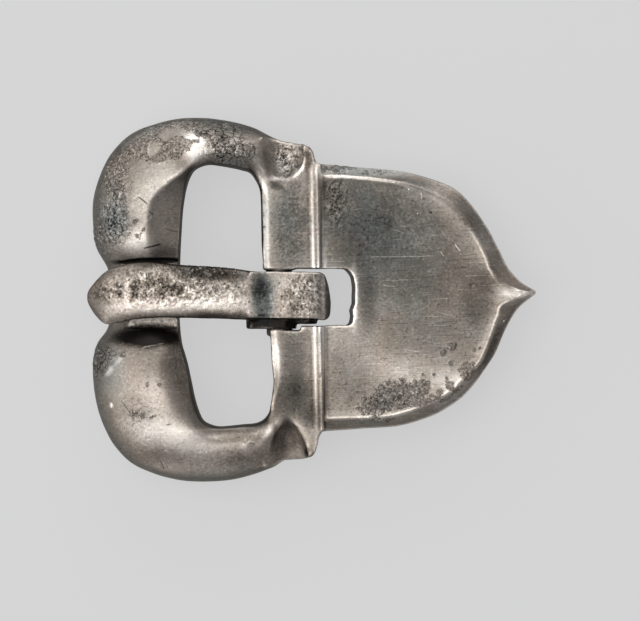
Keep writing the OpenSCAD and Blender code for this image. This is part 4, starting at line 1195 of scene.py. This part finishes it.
grow(tongue, tree, Swell=0.06, Ripple=0.03, Grain=0.045, Material=tongue_silver)
print("worn skins:", size_of(casting), size_of(tongue))

# %% Thin the nets
FRAME_MOST, TONGUE_MOST = 196000, 150000


def triangles(piece):
    """How many triangles the piece's faces make."""
    return len(piece.data.loops) - 2 * len(piece.data.polygons)


def thin_out(piece, most):
    """Thins the net where it is flat, down to the most triangles a piece may have."""
    before = triangles(piece)
    change = piece.modifiers.new("thin", "DECIMATE")
    change.ratio = min(1, most / before)
    settle(piece)
    print("thinned from", before, "to", triangles(piece), "triangles")


thin_out(casting, FRAME_MOST)
thin_out(tongue, TONGUE_MOST)

# %% [markdown]
# ## Old silver, one recipe for both pieces
# Bare silver is pale and mirror-like. Here tarnish has turned it brown-grey and dull on flats and in
# hollows, and wear has kept edges and crests pale. Steep sides are painted darker and greenish grey, as
# painted shade and a painted reflection of the grey floor, and hollows get some painted shade too. The
# recipe first works out one tone from 0, nearly black, to 1, pale silver. It adds up the map's tone, cloudy
# noise, specks, brushed lines, marks, veins, edges, hollows and crust, each times its share. Two colour
# ramps, a cool and a warm one, turn the tone into colour. Texture places are object coordinates in
# millimetres, so crust colours sit on the crust's relief.

# %% The two colour ramps
COOL = [(0.0, (0.012, 0.013, 0.013)), (0.25, (0.075, 0.078, 0.073)), (0.5, (0.21, 0.212, 0.2)),
        (0.75, (0.45, 0.45, 0.43)), (1.0, (0.83, 0.83, 0.8))]
WARM = [(0.0, (0.013, 0.011, 0.009)), (0.25, (0.088, 0.073, 0.06)), (0.5, (0.245, 0.209, 0.176)),
        (0.75, (0.5, 0.444, 0.391)), (1.0, (0.88, 0.825, 0.75))]


def ramp(tree, factor, stops):
    """The colour at a place between 0 and 1 on a ramp of stops."""
    made = node(tree, "ShaderNodeValToRGB", {0: factor})
    band = made.color_ramp
    while len(band.elements) > 1:
        band.elements.remove(band.elements[0])
    band.elements[0].position, band.elements[0].color = stops[0][0], (*stops[0][1], 1)
    for place, colour in stops[1:]:
        band.elements.new(place).color = (*colour, 1)
    return made.outputs[0]


print("stops of colour:", len(COOL), "cool and", len(WARM), "warm")

# %% Fine scratches
# The same noise is long along a scratch and thin across it.
SCRATCH_STRETCH = (0.35, 6.5, 1.0)


def hairlines(tree, place, angle, low, high):
    """Fine scratches that run at an angle in degrees from the buckle's length."""
    turned = node(tree, "ShaderNodeVectorRotate", {"Vector": place, "Angle": -math.radians(angle)},
                  rotation_type="Z_AXIS")
    stretched = node(tree, "ShaderNodeVectorMath", {0: turned.outputs[0], 1: SCRATCH_STRETCH},
                     operation="MULTIPLY")
    lines = noise(tree, stretched.outputs[0], Scale=1.0, Detail=3.0, Roughness=0.6)
    return soft_step(tree, lines, low, high)


print("scratches are", round(SCRATCH_STRETCH[1] / SCRATCH_STRETCH[0]), "times as long as wide")

# %% What shows on old silver
def signs_of_age(t, blotch_scale):
    """Every pattern that the recipe mixes, as Wires under plain names."""
    raw = node(t, "ShaderNodeTexCoord").outputs["Object"]
    mm = node(t, "ShaderNodeVectorMath", {0: raw, "Scale": 1 / MM}, operation="SCALE").outputs[0]
    normal = node(t, "ShaderNodeNewGeometry").outputs["Normal"]
    up = node(t, "ShaderNodeSeparateXYZ", {0: normal}).outputs["Z"]

    def kept(name):
        return Wire(t, node(t, "ShaderNodeAttribute", attribute_name=name).outputs["Fac"])

    def step(value, start, end):
        return soft_step(t, value, start, end)

    def scratches(*row):
        return hairlines(t, mm, *row)

    age = SimpleNamespace(tone_shift=kept("tone_shift"), warm_shift=kept("warm_shift"))
    # The crust, as in the relief, the dark line at its edge and the fine rims round its grains.
    zone = kept("crust_zone")
    field = crust_field(t, mm, zone)
    age.crust, age.deep = step(field, *CRUST_EDGE), step(field, 0.7, 1.3)
    age.brink = step(field, 0.44, 0.5) * step(field, 0.62, 0.52)
    age.rims = step(field.math("PINGPONG", 0.16), 0.03, 0.008) * step(zone, 0.3, 0.6)
    # Noise, from the crust's own grain to clouds as wide as a lobe.
    age.grain = swing(t, mm, **GRAIN_NOISE)
    age.fine = swing(t, mm, Scale=6.5, Detail=4.0, Roughness=0.65)
    age.clouds = swing(t, mm, Scale=0.42, Detail=5.0, Roughness=0.55)
    age.shade = swing(t, mm, Scale=0.3, Detail=4.0, Roughness=0.6)
    dots = noise(t, mm, Scale=4.5, Detail=3.0, Roughness=0.55)
    age.pale_dots, age.dark_dots = step(dots, 0.56, 0.68), step(dots, 0.44, 0.32)
    age.pinholes = step(dots, 0.42, 0.3)
    cloth = noise(t, mm, Scale=blotch_scale, Detail=6.0, Roughness=0.68, Distortion=0.4)
    age.stain = step(cloth, 0.5, 0.62) - step(cloth, 0.5, 0.38)
    # What was drawn over it: brushed lines, veins and single marks.
    age.bright = scratches(2, 0.58, 0.68) + scratches(38, 0.63, 0.72) + scratches(-52, 0.65, 0.74)
    dark = scratches(4, 0.42, 0.32) + scratches(-20, 0.36, 0.28)
    age.lines = (age.bright - dark * 0.65) * kept("brushed")
    age.veins = step(vein_field(t, mm), 0.09, 0.015) * kept("vein_zone")
    across, past = kept("mark_across") + age.clouds * 1.2 + age.fine * 0.5, kept("mark_past")
    off = (across * across + past * past).math("SQRT")
    age.drawn = step(off, 1.0, 0.4) * kept("mark_strength") * step(up, 0.1, 0.3)
    # The shape's own say.
    age.harsh, bend = kept("rough_zone"), kept("bend")
    age.edge, age.hollow, age.steep = step(bend, 0.12, 0.9), step(bend, -0.1, -0.9), step(up, 0.75, 0.25)
    return age


# %% The recipe
SILVER_TINT = (0.6, 0.58, 0.55, 1)
BUMP_REACH = 0.03


def silver(material, tone, speck, cloud, blotch, blotch_scale, scratch, rough, warm, grain_bump):
    """Fills a material with aged silver; the numbers are the knobs that differ between the pieces."""
    material.use_nodes = True
    t = material.node_tree
    t.nodes.clear()
    age = signs_of_age(t, blotch_scale)
    blotched = age.stain * age.harsh.math("MULTIPLY_ADD", blotch * 2, blotch * 0.25)
    # Hollows are darker partly from tarnish and partly as painted shade, and steep places are darker as
    # painted shade on walls seen from above.
    bare = (tone + age.tone_shift + age.clouds * cloud + age.fine * 0.1 + blotched - age.rims * 0.22
            + (age.pale_dots - age.dark_dots) * speck + age.lines * scratch + age.edge * 0.28
            - age.hollow * 0.28 - age.steep * 0.16 + age.harsh * age.grain * 0.65 - age.veins * 0.42
            + age.drawn)
    crusted = (0.45 - age.deep * 0.06 + age.grain * 0.48 + age.fine * 0.5 + age.pale_dots * 0.2
               + age.tone_shift * 0.3 - age.rims * 0.26 - age.veins * 0.36)
    level = held(bare * (1 - age.crust) + crusted * age.crust - age.brink * 0.36)
    # Steep places lean to the cool ramp, a painted reflection of the grey floor.
    warmth = held(warm + age.warm_shift + age.shade * 0.8 - age.steep * 0.45 + age.edge * 0.2)
    colour = node(t, "ShaderNodeMix", {0: warmth, 6: ramp(t, level, COOL), 7: ramp(t, level, WARM)},
                  data_type="RGBA")
    metal = 0.88 - age.crust * 0.35 - age.hollow * 0.2
    dull = (rough + age.crust * 0.26 + age.harsh * 0.05 + age.fine * 0.07 + age.clouds * 0.05
            - age.edge * 0.05 + age.hollow * 0.12 + age.bright * 0.03)
    relief = (age.fine * 0.25 + age.grain * (age.crust * 1.2 + age.harsh * 0.8) + age.crust * 1.6
              - age.lines * 0.4 - age.pinholes * 0.4 - age.rims * 0.6 - age.veins + age.drawn * 1.5)
    bump = node(t, "ShaderNodeBump", {"Strength": grain_bump, "Distance": BUMP_REACH * MM, "Height": relief})
    surface = node(t, "ShaderNodeBsdfPrincipled", {
        "Base Color": colour.outputs[2], "Metallic": metal, "Roughness": dull,
        "Normal": bump.outputs[0], "Specular Tint": SILVER_TINT})
    node(t, "ShaderNodeOutputMaterial", {"Surface": surface.outputs[0]})
    print(material.name, "made of", len(t.nodes), "nodes")


silver(cast_silver, tone=0.5, speck=0.09, cloud=0.09, blotch=0.05, blotch_scale=1.4, scratch=0.16,
       rough=0.41, warm=0.8, grain_bump=0.5)
silver(tongue_silver, tone=0.52, speck=0.14, cloud=0.06, blotch=0.11, blotch_scale=2.2, scratch=0.0,
       rough=0.4, warm=0.85, grain_bump=0.7)

# %% [markdown]
# ## Hand the pieces over
# So far everything was made in millimetres on the bench. Each piece is now scaled to metres inside its
# mesh, keeps its one finish, is shaded smooth and moves to the scene. The frame stays still, the tongue
# rides the body that swings, and each is told which solid it dresses.

# %% Scale, name and attach the two pieces
def finished(piece, name, body, nodes):
    """Shrinks a piece from the bench to metres, gives it one finish and hands it over."""
    mesh = piece.data
    mesh.transform(Matrix.Scale(MM, 4))
    finish = [m for m in mesh.materials if m][-1]
    mesh.materials.clear()
    mesh.materials.append(finish)
    mesh.polygons.foreach_set("material_index", [0] * len(mesh.polygons))
    mesh.polygons.foreach_set("use_smooth", [True] * len(mesh.polygons))
    mesh.update()
    piece.name = mesh.name = name
    bench.objects.unlink(piece)
    bpy.context.scene.collection.objects.link(piece)
    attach(piece, body)
    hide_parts(*nodes)
    print(name, "rides", body, "with", triangles(piece), "triangles")


finished(casting, "silver_frame", "frame", ["buckle_frame"])
finished(tongue, "silver_tongue", "tongue_body", ["tongue"])

# %% [markdown]
# ## Floor, light and camera
# The buckle was photographed from straight above on pale grey, evenly lit, almost without a shadow, as
# on a light table. So the floor glows a little by itself. One large soft box hangs overhead to the left,
# a low wide one lights from the left and one from the top, and the right stays dark. The camera is far
# away with a long lens, so upright walls hardly show.

# %% Lay the glowing floor
# Half the floor's width in metres, and how brightly it glows.
FLOOR_HALF, FLOOR_GLOW = 2, 0.542
floor_corners = [(x * FLOOR_HALF, y * FLOOR_HALF, 0) for x, y in ((-1, -1), (1, -1), (1, 1), (-1, 1))]
floor = on_bench("floor", floor_corners, [(0, 1, 2, 3)])
bench.objects.unlink(floor)
bpy.context.scene.collection.objects.link(floor)
pale = bpy.data.materials.new("pale_floor")
pale.use_nodes = True
paint = pale.node_tree.nodes["Principled BSDF"].inputs
paint["Base Color"].default_value = (0.08, 0.08, 0.081, 1)
paint["Roughness"].default_value = 0.9
paint["Emission Color"].default_value = (1, 1, 1, 1)
paint["Emission Strength"].default_value = FLOOR_GLOW
floor.data.materials.append(pale)
print("floor:", 2 * FLOOR_HALF, "m wide, glow", FLOOR_GLOW)


# %% Hang the soft boxes
def softbox(name, azimuth, height, far, size, power):
    """A soft light aimed at the buckle; angles in degrees, lengths in metres."""
    a, e = math.radians(azimuth), math.radians(height)
    place = Vector((math.cos(a) * math.cos(e), math.sin(a) * math.cos(e), math.sin(e))) * far
    light = bpy.data.lights.new(name, "AREA")
    light.shape, light.energy = "RECTANGLE", power
    light.size, light.size_y = size
    lamp = bpy.data.objects.new(name, light)
    bpy.context.scene.collection.objects.link(lamp)
    lamp.location = place
    lamp.rotation_euler = (-place).to_track_quat("-Z", "Y").to_euler()
    lamp.visible_camera = False
    print(name, "of", power, "W,", far, "m away")


softbox("softbox_overhead", 170, 71, 0.55, (0.5, 0.5), 2.5)
softbox("softbox_left", 190, 24, 0.6, (0.8, 0.42), 1.9)
softbox("softbox_top", 88, 30, 0.6, (0.7, 0.3), 1.9)
world = bpy.data.worlds.new("soft_room")
world.use_nodes = True
room_light = world.node_tree.nodes["Background"].inputs
room_light["Color"].default_value = (0.5, 0.5, 0.52, 1)
room_light["Strength"].default_value = 0.62
bpy.context.scene.world = world
bpy.context.scene.view_settings.view_transform = "Standard"

# %% Set the camera
CAMERA_X, CAMERA_Y, CAMERA_FAR = 0.00065, -0.00087, 0.6
# A picture 640 pixels wide shows 12.39 pixels to the millimetre at the buckle's middle height of 3 mm.
PX_PER_MM, PICTURE_PX, MIDDLE_HEIGHT = 12.39, 640, 3
lens = bpy.data.cameras.new("camera")
lens.lens = PX_PER_MM * lens.sensor_width * (CAMERA_FAR / MM - MIDDLE_HEIGHT) / PICTURE_PX
lens.clip_start, lens.clip_end = 0.01, 10
camera = bpy.data.objects.new("camera", lens)
camera.location = (CAMERA_X, CAMERA_Y, CAMERA_FAR)
bpy.context.scene.collection.objects.link(camera)
bpy.context.scene.camera = camera
print("camera lens:", round(lens.lens, 1), "mm")
